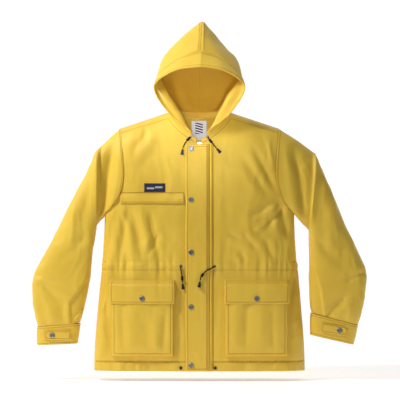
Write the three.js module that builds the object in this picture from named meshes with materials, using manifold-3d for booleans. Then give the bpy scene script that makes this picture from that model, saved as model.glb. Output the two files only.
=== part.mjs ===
// Foul weather jacket, standing as it hangs: millimetres, +Z up, front facing -Y, wearer's left at +X.
// The origin is in the hanger loop at the back of the neck, which holds the jacket up.
import * as THREE from "three";
import { mergeVertices } from "three/addons/utils/BufferGeometryUtils.js";
import Module from "manifold-3d";

const wasm = await Module();
wasm.setup();

// Driving dimensions.
const CLOTH = 2; // coated cloth with its lining
const TAPE = 1; // single layers: tapes, labels, badge
const GAP = 0.3; // between pieces that touch
const MID_Y = -36; // plane of the side and shoulder seams
const HALF_DEPTH = 60; // of the torso, front or back
const ROUNDING = 4; // exponent of the flattened section of the torso
const HEM_Z = -763;
const ARMPIT_Z = -290;
const SHOULDER_TIP = { x: 238, z: -32 };
const SHOULDER_SLOPE = 1 / 3;
const SHOULDER_TOP_Z = 47; // of the shoulder line, carried on to the middle of the neck
const SHOULDER_ROUNDING = 120; // height over which front and back close towards the shoulder
const NECK = { halfWidth: 93, sideZ: 15, frontZ: -66, backZ: 6, power: 1.3 };
const NECK_BAND_HEIGHT = 10;
const SHOULDER_SEAM = 0.01; // drop of each edge below the shoulder line
const SEAM_GAP = 3; // along the neck, where edges are steep
const ZIP_HALF_GAP = 6; // from the middle to each front edge
const ZIP_TOP_Z = -76;
const FRONT_Y = MID_Y - HALF_DEPTH;
const STORM_FLAP = { hingeX: 31, freeX: -42, topZ: -81, standoff: 4.5 };
const SNAP_X = -25;
const SNAP_ZS = [-95, -248, -406, -570, -745];
const CAP_RADIUS = 8;
const STUD_RADIUS = 5;
const STUD_HEIGHT = 2.6;
const WAIST_Z = -447;
const CORD_RADIUS = 1.8;
const CORD_SIDES = 8;

// Materials.
const paint = (color, roughness, metalness = 0) =>
  new THREE.MeshStandardMaterial({ color, roughness, metalness });
const yellow = () => paint(0xe8bc4d, 0.65);
const lining = () => paint(0xd8a52a, 0.75);
const metal = () => paint(0x9aa6ab, 0.3, 1);
const blackCord = () => paint(0x17171a, 0.8);
const blackPlastic = () => paint(0x101012, 0.45);
const navy = () => paint(0x1d2340, 0.7);
const labelWhite = () => paint(0xdfe4ee, 0.8);
const zipTape = () => paint(0xd9a93c, 0.8);

const jacket = new THREE.Group();

function add(name, geometry, material, parent = jacket) {
  const mesh = new THREE.Mesh(geometry, material);
  mesh.name = name;
  parent.add(mesh);
  return mesh;
}

// Booleans.
function solidOf(geometry) {
  const bare = geometry.clone();
  bare.deleteAttribute("normal");
  bare.deleteAttribute("uv");
  const merged = mergeVertices(bare, 1e-3);
  return new wasm.Manifold(
    new wasm.Mesh({
      numProp: 3,
      vertProperties: merged.attributes.position.array,
      triVerts: new Uint32Array(merged.index.array),
    }),
  );
}

function geometryOf(solid) {
  const { vertProperties, triVerts } = solid.getMesh();
  const geometry = new THREE.BufferGeometry();
  geometry.setAttribute("position", new THREE.BufferAttribute(new Float32Array(vertProperties), 3));
  geometry.setIndex(new THREE.BufferAttribute(triVerts, 1));
  return geometry;
}

const cut = (geometry, tool) => geometryOf(solidOf(geometry).subtract(solidOf(tool)));
const join = (first, ...others) =>
  geometryOf(others.reduce((sum, other) => sum.add(solidOf(other)), solidOf(first)));

// A closed shell under a curved face: at(u, v) gives the outer face, seen with u to the right, v up.
function shell(at, columns, rows, thickness, ring = false) {
  const across = ring ? columns : columns + 1;
  const step = 1e-3;
  const outer = [];
  const inner = [];
  for (let j = 0; j <= rows; j++) {
    for (let i = 0; i < across; i++) {
      const u = i / columns;
      const v = j / rows;
      const [u0, u1] = ring ? [u - step, u + step] : [Math.max(u - step, 0), Math.min(u + step, 1)];
      const [v0, v1] = [Math.max(v - step, 0), Math.min(v + step, 1)];
      const alongU = at(u1, v).sub(at(u0, v));
      const alongV = at(u, v1).sub(at(u, v0));
      const normal = alongU.cross(alongV).normalize();
      const point = at(u, v);
      outer.push(point);
      inner.push(point.clone().addScaledVector(normal, -thickness));
    }
  }
  const points = [...outer, ...inner];
  const o = (i, j) => j * across + (i % across);
  const n = (i, j) => outer.length + o(i, j);
  const faces = [];
  const quad = (a, b, c, d) => faces.push(a, b, c, a, c, d);
  for (let i = 0; i < columns; i++) {
    for (let j = 0; j < rows; j++) {
      quad(o(i, j), o(i + 1, j), o(i + 1, j + 1), o(i, j + 1));
      quad(n(i, j), n(i, j + 1), n(i + 1, j + 1), n(i + 1, j));
    }
    quad(o(i, 0), n(i, 0), n(i + 1, 0), o(i + 1, 0));
    quad(o(i, rows), o(i + 1, rows), n(i + 1, rows), n(i, rows));
  }
  for (let j = 0; j < rows && !ring; j++) {
    quad(o(0, j), o(0, j + 1), n(0, j + 1), n(0, j));
    quad(o(columns, j), n(columns, j), n(columns, j + 1), o(columns, j + 1));
  }
  const geometry = new THREE.BufferGeometry().setFromPoints(points);
  geometry.setIndex(faces);
  return geometry;
}

// A flat piece in the XZ plane, from (left, bottom), its back at y = 0 and its face at y = -thickness.
function board(left, bottom, width, height, thickness, radius = 3) {
  const shape = new THREE.Shape();
  const [right, top] = [left + width, bottom + height];
  shape.moveTo(left, top);
  shape.lineTo(left, bottom + radius);
  shape.quadraticCurveTo(left, bottom, left + radius, bottom);
  shape.lineTo(right - radius, bottom);
  shape.quadraticCurveTo(right, bottom, right, bottom + radius);
  shape.lineTo(right, top);
  shape.closePath();
  const geometry = new THREE.ExtrudeGeometry(shape, {
    depth: thickness,
    bevelEnabled: false,
    curveSegments: 3,
  });
  return geometry.rotateX(Math.PI / 2);
}

// A plan profile given as [x, y] points, extruded up from bottom to top.
function column(profile, bottom, top) {
  const shape = new THREE.Shape(profile.map(([x, y]) => new THREE.Vector2(x, y)));
  const geometry = new THREE.ExtrudeGeometry(shape, { depth: top - bottom, bevelEnabled: false });
  return geometry.translate(0, 0, bottom);
}

// A turned piece with its base at y = 0, standing out towards -Y.
function turned(profile, sides = 12) {
  const points = profile.map(([r, h]) => new THREE.Vector2(r, h));
  return new THREE.LatheGeometry(points, sides).rotateX(Math.PI);
}

const snapCap = () =>
  turned([[0, 0], [CAP_RADIUS, 0], [CAP_RADIUS, 1.2], [CAP_RADIUS - 2, 2.8], [0, 3.2]]);
const snapStud = () =>
  turned([[0, 0], [STUD_RADIUS, 0], [STUD_RADIUS, STUD_HEIGHT], [0, STUD_HEIGHT]]);
const eyelet = () => turned([[0, 0], [4.5, 0], [4, 1.2], [0, 1.2]]);

// The torso's flattened tube.
const shoulderZ = (x) => SHOULDER_TOP_Z - Math.abs(x) * SHOULDER_SLOPE;

function halfWidth(z) {
  const hem = THREE.MathUtils.smoothstep(z, HEM_Z, ARMPIT_Z);
  return THREE.MathUtils.lerp(318, 286, hem);
}

function halfDepth(x, z) {
  const across = Math.min(Math.abs(x) / halfWidth(z), 1);
  const side = (1 - across ** ROUNDING) ** (1 / ROUNDING);
  const under = THREE.MathUtils.clamp((shoulderZ(x) - z) / SHOULDER_ROUNDING, 0, 1);
  return HALF_DEPTH * side * Math.sqrt(1 - (1 - under) ** 2);
}

const armholeCurve = new THREE.CatmullRomCurve3(
  [[286, ARMPIT_Z], [262, -268], [240, -232], [228, -170], [SHOULDER_TIP.x, SHOULDER_TIP.z]].map(
    ([x, z]) => new THREE.Vector3(x, 0, z),
  ),
);
const neckFrontZ = (x) => {
  const across = Math.min(x / NECK.halfWidth, 1);
  const rise = (1 - across ** NECK.power) ** (1 / NECK.power);
  return NECK.sideZ - (NECK.sideZ - NECK.frontZ) * rise;
};
const neckBackZ = (x) =>
  NECK.backZ + (NECK.sideZ - NECK.backZ) * Math.min(x / NECK.halfWidth, 1) ** 2;

// A point on a torso panel: c runs from the middle line (0) to the side (1), v from hem to top.
const ARMHOLE_SHARE = 0.6; // of the rows that lie above the armpit
const EDGE = 1 - 2e-8; // stops a hair short of the side seam

function torsoPoint(facing, c, v, innerX, topZ) {
  const spread = Math.sin((c * Math.PI) / 2) * EDGE;
  const below = v < 1 - ARMHOLE_SHARE;
  const rise = (v - 1 + ARMHOLE_SHARE) / ARMHOLE_SHARE;
  const edge = below ? null : armholeCurve.getPoint(rise);
  const levelZ = below
    ? THREE.MathUtils.lerp(HEM_Z, ARMPIT_Z, v / (1 - ARMHOLE_SHARE))
    : edge.z;
  const outerX = below ? halfWidth(levelZ) : edge.x;
  const x = Math.max(innerX, outerX * spread);
  const topX = Math.max(innerX, SHOULDER_TIP.x * spread);
  const top = topX < NECK.halfWidth ? topZ(topX) : shoulderZ(topX);
  const share = (levelZ - ARMPIT_Z) / (SHOULDER_TIP.z - ARMPIT_Z);
  const z = below ? levelZ : THREE.MathUtils.lerp(ARMPIT_Z, top - SHOULDER_SEAM, share);
  return new THREE.Vector3(x, MID_Y + facing * halfDepth(x, z), z);
}

function torsoPanels() {
  const tilt = (p, side) => new THREE.Vector3(side * p.x, p.y, p.z);
  const front = (side) => (u, v) => {
    const c = side > 0 ? u : 1 - u;
    return tilt(torsoPoint(-1, 0.02 + 0.98 * c, v, ZIP_HALF_GAP, neckFrontZ), side);
  };
  const back = (u, v) => {
    const signed = 1 - 2 * u;
    return tilt(torsoPoint(1, Math.abs(signed), v, 0, neckBackZ), Math.sign(signed) || 1);
  };
  const slot = new THREE.BoxGeometry(140, 40, 9).translate(-145, FRONT_Y + 5, -244);
  add("right_front_panel", cut(shell(front(-1), 13, 16, CLOTH), slot), yellow());
  add("left_front_panel", shell(front(1), 13, 16, CLOTH), yellow());
  add("back_panel", shell(back, 24, 16, CLOTH), yellow());
}

// A tube round two edge lines, such as a sleeve: a section spans from outer to inner, with a depth in Y.
const line = (points) =>
  new THREE.CatmullRomCurve3(points.map(([x, z]) => new THREE.Vector3(x, 0, z)));
const SLEEVES = {
  right: {
    side: -1,
    outer: [[-304, -92], [-372, -224], [-446, -366], [-503, -470], [-503, -552], [-491, -627]],
    inner: [[-318, -318], [-324, -400], [-331, -500], [-342, -570], [-352, -600], [-359, -620]],
    cuff: { outer: [-490, -686], inner: [-368, -681] },
    tab: { sewn: [-386, -655], tip: [-468, -655] },
  },
  left: {
    side: 1,
    outer: [[326, -72], [384, -190], [452, -330], [503, -455], [499, -545], [479, -622]],
    inner: [[312, -330], [330, -400], [334, -480], [334, -540], [334, -570], [335, -588]],
    cuff: { outer: [465, -685], inner: [334, -655] },
    tab: { sewn: [366, -631], tip: [446, -645] },
  },
};
const SLEEVE_DEPTHS = [45, 46, 44, 42, 40, 36];
const SLEEVE_FORWARD = -14; // how far the cuff hangs in front of the side seam
const ARMHOLE_GAP = 1.2;
const RING = 18; // facets round a sleeve
const SLEEVE_ROUNDING = 2 / 2.4;

function ringPoint(outer, inner, depth, midY, side, u) {
  const angle = 2 * Math.PI * u;
  const along = Math.cos(angle);
  const reach = Math.sign(along) * Math.abs(along) ** SLEEVE_ROUNDING;
  const deep = Math.sin(angle);
  const bulge = Math.sign(deep) * Math.abs(deep) ** SLEEVE_ROUNDING;
  const middle = outer.clone().add(inner).multiplyScalar(0.5);
  const half = outer.clone().sub(inner).multiplyScalar(0.5);
  const point = middle.addScaledVector(half, reach);
  point.y = midY + side * depth * bulge;
  return point;
}

function armholePoint(side, u) {
  const angle = 2 * Math.PI * u;
  const edge = armholeCurve.getPoint(0.5 + 0.5 * Math.cos(angle));
  const deep = halfDepth(edge.x, edge.z) * Math.sign(Math.sin(angle));
  return new THREE.Vector3(
    side * (edge.x + ARMHOLE_GAP),
    MID_Y + side * (Math.abs(Math.sin(angle)) > 1e-6 ? deep : 0),
    edge.z + ARMHOLE_GAP * 0.5,
  );
}

function sleevePoint({ side, outer, inner }, u, v) {
  const [outerLine, innerLine] = [line(outer), line(inner)];
  const head = 0.12; // share of the length between the armhole and the first section
  if (v < head) {
    const first = ringPoint(outerLine.getPoint(0), innerLine.getPoint(0), SLEEVE_DEPTHS[0], MID_Y, side, u);
    return armholePoint(side, u).lerp(first, v / head);
  }
  const t = (v - head) / (1 - head);
  const place = t * (SLEEVE_DEPTHS.length - 1);
  const low = Math.min(Math.floor(place), SLEEVE_DEPTHS.length - 2);
  const depth = THREE.MathUtils.lerp(SLEEVE_DEPTHS[low], SLEEVE_DEPTHS[low + 1], place - low);
  const midY = MID_Y + SLEEVE_FORWARD * t ** 1.5;
  return ringPoint(outerLine.getPoint(t), innerLine.getPoint(t), depth, midY, side, u);
}

function sleeve(name, spec) {
  const { side, outer, inner, cuff, tab } = spec;
  // v runs down the arm, so the section is taken the other way round to keep the face outwards.
  const down = (u, v) => sleevePoint(spec, 1 - u, v);
  add(`${name}_sleeve`, shell(down, RING, 15, CLOTH, true), yellow());

  const wrist = [outer.at(-1), inner.at(-1)].map(([x, z]) => new THREE.Vector3(x, 0, z));
  const ends = [cuff.outer, cuff.inner].map(([x, z]) => new THREE.Vector3(x, 0, z));
  const wristY = MID_Y + SLEEVE_FORWARD;
  const cuffDepth = SLEEVE_DEPTHS.at(-1) - 2;
  const band = (u, v) => {
    const share = 0.05 + 0.95 * v;
    const [a, b] = wrist.map((point, k) => point.clone().lerp(ends[k], share));
    return ringPoint(a, b, cuffDepth, wristY, side, 1 - u);
  };
  add(`${name}_cuff`, shell(band, RING, 3, CLOTH, true), yellow());

  // The tab lies flat on the front of the cuff, from its sewn end towards the back of the wrist.
  const place = new THREE.Group();
  const [dx, dz] = [tab.tip[0] - tab.sewn[0], tab.tip[1] - tab.sewn[1]];
  place.position.set(tab.sewn[0], wristY - cuffDepth - STUD_HEIGHT - 3 * GAP, tab.sewn[1]);
  place.rotation.y = -Math.atan2(dz * side, dx * side);
  jacket.add(place);
  const length = Math.hypot(dx, dz);
  const left = side > 0 ? 0 : -length;
  const capX = side * (length - 26);
  add(`${name}_cuff_tab`, board(left, -14, length, 28, CLOTH, 6), yellow(), place);
  add(`${name}_cuff_snap_cap`, snapCap(), metal(), place).position.set(capX, -CLOTH - GAP, 0);
  add(`${name}_cuff_snap_stud`, snapStud(), metal(), place).position.set(capX, STUD_HEIGHT + GAP, 0);
}

// Neck band and hood. t runs from the front end (0) over the side to the middle of the back (1).
function neckPoint(t, lift) {
  const front = t < 0.5;
  const x = front
    ? THREE.MathUtils.lerp(24, NECK.halfWidth, t * 2)
    : NECK.halfWidth * Math.cos(Math.PI * (t - 0.5));
  const z = front ? neckFrontZ(x) : neckBackZ(x);
  const depth = halfDepth(Math.min(x, NECK.halfWidth), Math.min(z, shoulderZ(x)));
  return new THREE.Vector3(x, MID_Y + (front ? -1 : 1) * depth, z + lift);
}

const HOOD_ROWS = [
  [[28, -101, -49], [78, -84, 20], [118, -32, 66], [80, 40, 74], [0, 60, 76]],
  [[27, -102, -47], [90, -82, 55], [130, -22, 120], [92, 58, 150], [3, 76, 165]],
  [[24, -103, -46], [96, -92, 66], [120, -46, 158], [56, -6, 244], [9, 8, 296]],
  [[22, -105, -45], [92, -112, 10], [136, -112, 90], [72, -130, 138], [3, -140, 148]],
];

function hoodPoint(side, t, w) {
  const neck = neckPoint(t, NECK_BAND_HEIGHT + SEAM_GAP);
  const seam = (x) => (side > 0 ? x : -x); // the middle seam leans a little to the wearer's left
  const rows = HOOD_ROWS.map((row) =>
    row.map(([x, y, z], k) => new THREE.Vector3(k === row.length - 1 ? seam(x) : x, y, z)),
  );
  const across = rows.map((points) => new THREE.CatmullRomCurve3(points).getPoint(t));
  const point = new THREE.CatmullRomCurve3([neck, ...across]).getPoint(w);
  return new THREE.Vector3(side * point.x, point.y, point.z);
}

function hood() {
  const last = 0.994; // both halves stop a hair short of the middle seam
  const half = (side, w0, w1) => (u, v) => {
    const t = (side > 0 ? 1 - u : u) * last;
    return hoodPoint(side, t, w0 + (w1 - w0) * v);
  };
  // Seen from outside, the wearer's left half runs from the back middle to its front end.
  add("hood_left_panel", shell((u, v) => half(1, 0, 0.925)(1 - u, v), 12, 12, CLOTH), yellow());
  add("hood_right_panel", shell((u, v) => half(-1, 0, 0.925)(1 - u, v), 12, 12, CLOTH), yellow());
  const casing = (u, v) => {
    const side = u < 0.5 ? -1 : 1;
    const t = 1 - Math.abs(2 * u - 1);
    return hoodPoint(side, t, 0.937 + 0.063 * v);
  };
  add("hood_edge_casing", shell(casing, 24, 1, CLOTH), yellow());
}

function neckBand() {
  const band = (u, v) => {
    const side = u < 0.5 ? -1 : 1;
    const point = neckPoint(1 - Math.abs(2 * u - 1), SEAM_GAP + (NECK_BAND_HEIGHT - SEAM_GAP) * v);
    return new THREE.Vector3(side * point.x, point.y, point.z);
  };
  add("neck_band", shell(band, 24, 1, CLOTH), yellow());
  const backY = neckPoint(1, 0).y - CLOTH;
  const loop = [[-22, -1], [22, -1], [16, -9], [-16, -9]];
  const hole = [[-17, -2.5], [17, -2.5], [13, -7.5], [-13, -7.5]];
  const strap = cut(column(loop, 7, 13), column(hole, 6, 14));
  add("hanger_loop", strap.translate(0, backY - GAP - 2.5, -10), yellow());

  const place = new THREE.Group();
  place.position.set(-1.5, backY - 3, -9);
  place.rotation.x = THREE.MathUtils.degToRad(10);
  jacket.add(place);
  add("neck_label", board(-23, -54, 46, 54, TAPE), labelWhite(), place);
  add("size_tab", board(-9.5, -74, 19, 19.5, TAPE), labelWhite(), place);
}

// Closing of the front: zip, studs and storm flap.
function frontClosing() {
  const backOfPanel = FRONT_Y + CLOTH + 5 * GAP;
  for (const [name, side] of [["right", -1], ["left", 1]]) {
    const profile = [[20, 0], [GAP, 0], [GAP, -3], [3, -3], [3, -TAPE], [20, -TAPE]].map(([x, y]) => [
      side * x,
      backOfPanel + TAPE + y,
    ]);
    if (side < 0) profile.reverse();
    add(`zip_tape_${name}`, column(profile, HEM_Z + 6, ZIP_TOP_Z + 6), zipTape());
  }
  const [wide, chain] = [5.5, 3.4];
  const front = backOfPanel - 2 - GAP;
  const slider = column(
    [[-wide, front - 2.4], [wide, front - 2.4], [wide, front + 1.6], [chain, front + 1.6],
      [chain, front - 0.4], [-chain, front - 0.4], [-chain, front + 1.6], [-wide, front + 1.6]],
    ZIP_TOP_Z - 12,
    ZIP_TOP_Z,
  );
  add("zip_slider", slider, metal());
  const pull = board(-3, ZIP_TOP_Z - 34, 6, 30, 1, 2);
  add("zip_pull", pull.translate(0, front - 2.4 - GAP, 0), metal());

  const tapeFace = FRONT_Y - GAP;
  const studs = SNAP_ZS.map((z) => snapStud().translate(SNAP_X, tapeFace - TAPE + 0.1, z));
  const tape = board(SNAP_X - 6, HEM_Z + 8, 12, STORM_FLAP.topZ - HEM_Z - 12, TAPE).translate(0, tapeFace, 0);
  add("front_stud_tape", join(tape, ...studs), metal());

  const flapY = FRONT_Y - STORM_FLAP.standoff;
  const width = STORM_FLAP.hingeX - STORM_FLAP.freeX;
  const flap = board(STORM_FLAP.freeX, HEM_Z, width, STORM_FLAP.topZ - HEM_Z, CLOTH, 4);
  add("storm_flap", flap.translate(0, flapY, 0), yellow());
  SNAP_ZS.forEach((z, k) => {
    add(`front_snap_cap_${k + 1}`, snapCap(), metal()).position.set(SNAP_X, flapY - CLOTH - GAP, z);
  });
}

// A frame on the torso front: x along the chord between two places, its origin on the chord at fromX.
function onFront(fromX, toX, z, proud) {
  const y = (x) => MID_Y - halfDepth(x, z);
  const place = new THREE.Group();
  const angle = Math.atan2(y(toX) - y(fromX), toX - fromX);
  place.rotation.z = angle;
  place.position.set(fromX + proud * Math.sin(angle), y(fromX) - proud * Math.cos(angle), z);
  jacket.add(place);
  return place;
}

const POCKET = { width: 184, drop: 214, depth: 14, wall: 1.5, flapDrop: 67, flapWide: 192 };

function pocket(name, side) {
  const [nearX, farX] = [75, 267];
  const [fromX, toX] = side > 0 ? [nearX, farX] : [-farX, -nearX];
  const place = onFront(fromX, toX, -493, 7);
  const left = (POCKET.flapWide - POCKET.width) / 2;
  const bottom = -POCKET.drop - 8;
  const { wall } = POCKET;
  const body = board(left, bottom, POCKET.width, POCKET.drop, POCKET.depth, 8);
  const inside = board(left + wall, bottom + wall, POCKET.width - 2 * wall, POCKET.drop + 10,
    POCKET.depth - 2 * wall, 7).translate(0, -wall, 0);
  add(`${name}_pocket_bag`, cut(body, inside), yellow(), place);
  const middle = POCKET.flapWide / 2;
  const studY = -POCKET.depth - GAP;
  const snapZ = -POCKET.flapDrop + 16;
  add(`${name}_pocket_snap_stud`, snapStud(), metal(), place).position.set(middle, studY, snapZ);
  const flapY = studY - STUD_HEIGHT - GAP;
  const flap = board(0, -POCKET.flapDrop, POCKET.flapWide, POCKET.flapDrop, CLOTH, 6);
  add(`${name}_pocket_flap`, flap, yellow(), place).position.y = flapY;
  add(`${name}_pocket_snap_cap`, snapCap(), metal(), place).position.set(middle, flapY - CLOTH - GAP, snapZ);
}

function chest() {
  const place = onFront(-236, -45, -230, 5.2);
  add("chest_flap", board(0, -29, 190, 29, CLOTH, 4), yellow(), place);
  const behind = onFront(-214, -70, -238, -4);
  const body = board(0, -128, 144, 120, 12, 8).translate(0, 12, 0);
  const inside = board(1.5, -126.5, 141, 130, 9, 7).translate(0, 10.5, 0);
  add("chest_pocket_bag", cut(body, inside), lining(), behind);
  const badge = onFront(-166, -103, -199, 1.2);
  add("chest_badge", board(0, -26, 63, 26, TAPE, 1), navy(), badge);
}

// Bands sewn inside the torso, open at the front closing.
function insideBand(name, bottomZ, height, material) {
  const inset = 2 * CLOTH;
  const face = (u, v) => {
    const z = bottomZ + height * v;
    const angle = THREE.MathUtils.lerp(-0.47, 0.47, u) * 2 * Math.PI + Math.PI / 2;
    const [c, s] = [Math.cos(angle), Math.sin(angle)];
    const power = 2 / ROUNDING;
    const x = (halfWidth(z) - inset) * Math.sign(c) * Math.abs(c) ** power;
    const y = (HALF_DEPTH - inset) * Math.sign(s) * Math.abs(s) ** power;
    return new THREE.Vector3(x, MID_Y + y, z);
  };
  add(name, shell((u, v) => face(1 - u, 1 - v), 40, 1, TAPE), material);
}

// Cords: round tubes along a short list of places.
const CORDS = {
  hood_cord_right: [
    [-27, -99.5, -60], [-33, -101, -66], [-40, -102.5, -74], [-46, -103, -84], [-50, -103, -94],
  ],
  hood_cord_left: [
    [25, -99.5, -60], [30, -101, -68], [37, -102, -77], [44, -102, -86], [50, -102, -93],
  ],
  waist_cord_right: [
    [-56, -99.5, -447], [-56, -101, -456], [-54, -102.5, -468], [-52, -103, -482], [-51, -103, -496],
  ],
  waist_cord_left_exit: [[45, -99.5, -448], [42, -100, -450], [38, -100.5, -452], [34, -100.5, -455]],
  waist_cord_left: [
    [25, -104.9, -459], [20, -105.3, -462], [12, -105.3, -470], [5, -105.8, -479], [2, -106.8, -490],
  ],
};
const CORD_BELLS = {
  hood_cord_bell_right: [-51.5, -103, -105],
  hood_cord_bell_left: [57, -102, -101],
  waist_cord_end_right: [-50, -103, -508],
  waist_cord_end_left: [0, -107, -502],
};

function cords() {
  const section = new THREE.Shape();
  for (let k = 0; k < CORD_SIDES; k++) {
    const angle = (2 * Math.PI * k) / CORD_SIDES;
    const [x, y] = [CORD_RADIUS * Math.cos(angle), CORD_RADIUS * Math.sin(angle)];
    if (k) section.lineTo(x, y);
    else section.moveTo(x, y);
  }
  section.closePath();
  for (const [name, points] of Object.entries(CORDS)) {
    const route = new THREE.CatmullRomCurve3(points.map((p) => new THREE.Vector3(...p)));
    const steps = Math.max(3, Math.round(route.getLength() / (CORD_RADIUS * 5)));
    const tube = new THREE.ExtrudeGeometry(section, { steps, extrudePath: route, bevelEnabled: false });
    add(name, tube, blackCord());
  }
  // A bell's mouth faces away from its cord.
  for (const [name, centre] of Object.entries(CORD_BELLS)) {
    const profile = [[0, 9], [2.2, 9], [4.2, -9], [0, -9]].map(([r, h]) => new THREE.Vector2(r, h));
    const turnedBell = new THREE.LatheGeometry(profile.reverse(), 10).rotateX(Math.PI / 2);
    const bell = add(name, turnedBell, blackPlastic());
    const cord = CORDS[name.replace("_bell", "").replace("_end", "")];
    const away = new THREE.Vector3(...centre).sub(new THREE.Vector3(...cord.at(-1))).normalize();
    bell.position.set(...centre);
    bell.quaternion.setFromUnitVectors(new THREE.Vector3(0, 0, -1), away);
  }
  for (const [name, x, z] of [["right", -56, -753], ["left", 47, -753]]) {
    const stopper = turned([[0, 0], [4, 0], [4.6, 4], [4, 8], [0, 8]], 10);
    add(`hem_cord_stopper_${name}`, stopper, blackPlastic()).position.set(x, FRONT_Y - GAP, z);
  }
  for (const [name, x, z] of [["waist_eyelet_right", -56, -447], ["waist_eyelet_left", 45, -448],
    ["hood_eyelet_right", -27, -60], ["hood_eyelet_left", 25, -60]]) {
    add(name, eyelet(), metal()).position.set(x, MID_Y - halfDepth(x, z) - GAP, z);
  }
}

torsoPanels();
sleeve("right", SLEEVES.right);
sleeve("left", SLEEVES.left);
neckBand();
hood();
frontClosing();
chest();
pocket("right", -1);
pocket("left", 1);
insideBand("waist_casing", WAIST_Z - 12, 24, lining());
insideBand("hem_facing", HEM_Z, 30, lining());
cords();

export default jacket;
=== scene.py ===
import itertools
import math

import bpy
import numpy as np
from mathutils import Matrix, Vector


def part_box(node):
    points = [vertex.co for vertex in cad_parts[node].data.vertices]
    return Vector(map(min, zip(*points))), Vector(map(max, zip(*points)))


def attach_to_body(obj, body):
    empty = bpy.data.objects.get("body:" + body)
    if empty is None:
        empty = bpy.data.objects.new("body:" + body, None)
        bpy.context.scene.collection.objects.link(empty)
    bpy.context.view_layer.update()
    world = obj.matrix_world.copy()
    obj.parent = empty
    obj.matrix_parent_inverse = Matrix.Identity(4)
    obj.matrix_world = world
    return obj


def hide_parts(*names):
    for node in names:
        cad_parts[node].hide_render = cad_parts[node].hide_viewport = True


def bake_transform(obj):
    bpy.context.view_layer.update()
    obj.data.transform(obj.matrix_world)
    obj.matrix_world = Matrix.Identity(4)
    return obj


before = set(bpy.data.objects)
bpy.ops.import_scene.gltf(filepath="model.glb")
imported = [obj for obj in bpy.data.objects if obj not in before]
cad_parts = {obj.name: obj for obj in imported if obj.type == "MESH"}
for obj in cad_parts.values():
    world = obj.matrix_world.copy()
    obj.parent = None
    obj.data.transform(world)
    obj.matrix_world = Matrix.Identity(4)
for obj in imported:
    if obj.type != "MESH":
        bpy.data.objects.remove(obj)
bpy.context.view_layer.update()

# Foul weather jacket. Metres, +Z up, the front faces -Y, the wearer's left is at +X.
# The torso, hood and sleeves repeat the CAD's formulas, and folds are added to them along their normals.

# ---------------------------------------------------------------- driving dimensions
MID_Y = -0.036                  # plane of the side and shoulder seams
HALF_DEPTH = 0.060              # of the torso, front or back
ROUNDING = 4                    # exponent of the torso's flattened section
HEM_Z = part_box("storm_flap")[0].z
ARMPIT_Z = -0.290
SHOULDER_TIP = (0.238, -0.032)
SHOULDER_TOP_Z = 0.047
SHOULDER_SLOPE = 1 / 3
SHOULDER_ROUNDING = 0.120
NECK_HALF_WIDTH = 0.093
NECK_SIDE_Z = 0.015
NECK_FRONT_Z = -0.066
NECK_BACK_Z = 0.006
NECK_POWER = 1.3
NECK_BAND_HEIGHT = 0.010
FRONT_Y = MID_Y - HALF_DEPTH
WAIST_Z = -0.447
CASING_HALF = 0.012             # half the height of the waist casing
YOKE_Z = -0.125                 # seam across the back
HEM_FACING = 0.030
CLOTH = 0.0009                  # thickness of the coated cloth
CORD_DIAMETER = 0.0036
HEM_CORD_Z = -0.753             # where the hem cord's ends come out
SNAP_RADIUS = 0.008
STITCH = 0.0030                 # length of one stitch
STITCH_GAP = 0.0009
HEM_ROWS = (0.027, 0.0305)      # heights of the stitch rows above the hem
THREAD = 0.00042                # radius of the sewing thread

ARMHOLE = [(0.286, -0.290), (0.262, -0.268), (0.240, -0.232), (0.228, -0.170), SHOULDER_TIP]

# The sleeves lie flat, with straight edges and a sharp elbow.
SLEEVES = {
    "right": {
        "side": -1,
        "outer": [(-0.301, -0.088), (-0.400, -0.278), (-0.500, -0.468), (-0.506, -0.500), (-0.503, -0.560),
                  (-0.490, -0.630)],
        "inner": [(-0.312, -0.330), (-0.322, -0.400), (-0.331, -0.490), (-0.338, -0.530), (-0.348, -0.580),
                  (-0.359, -0.620)],
        "cuff": [(-0.490, -0.686), (-0.368, -0.681)],
        "tab": [(-0.386, -0.655), (-0.468, -0.655)],
    },
    "left": {
        "side": 1,
        "outer": [(0.350, -0.108), (0.424, -0.280), (0.500, -0.452), (0.505, -0.480), (0.499, -0.545),
                  (0.479, -0.625)],
        "inner": [(0.333, -0.342), (0.334, -0.410), (0.334, -0.480), (0.334, -0.510), (0.334, -0.555),
                  (0.335, -0.588)],
        "cuff": [(0.465, -0.685), (0.334, -0.655)],
        "tab": [(0.366, -0.631), (0.446, -0.645)],
    },
}
SLEEVE_DEPTHS = [0.045, 0.046, 0.044, 0.042, 0.040, 0.036]
SLEEVE_FORWARD = -0.014
SLEEVE_ROUNDING = 2 / 3.2
SLEEVE_HEAD = 0.17              # share of the sleeve between the armhole and its first section

HOOD_ROWS = [
    [(0.028, -0.101, -0.049), (0.078, -0.084, 0.020), (0.118, -0.032, 0.066), (0.080, 0.040, 0.074),
     (0.000, 0.060, 0.076)],
    [(0.027, -0.102, -0.047), (0.090, -0.082, 0.055), (0.130, -0.022, 0.120), (0.092, 0.058, 0.150),
     (0.003, 0.076, 0.165)],
    [(0.024, -0.103, -0.046), (0.096, -0.092, 0.066), (0.120, -0.046, 0.158), (0.056, -0.006, 0.244),
     (0.009, 0.008, 0.296)],
    [(0.022, -0.105, -0.045), (0.092, -0.112, 0.010), (0.136, -0.112, 0.090), (0.072, -0.130, 0.138),
     (0.003, -0.140, 0.148)],
]

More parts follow.
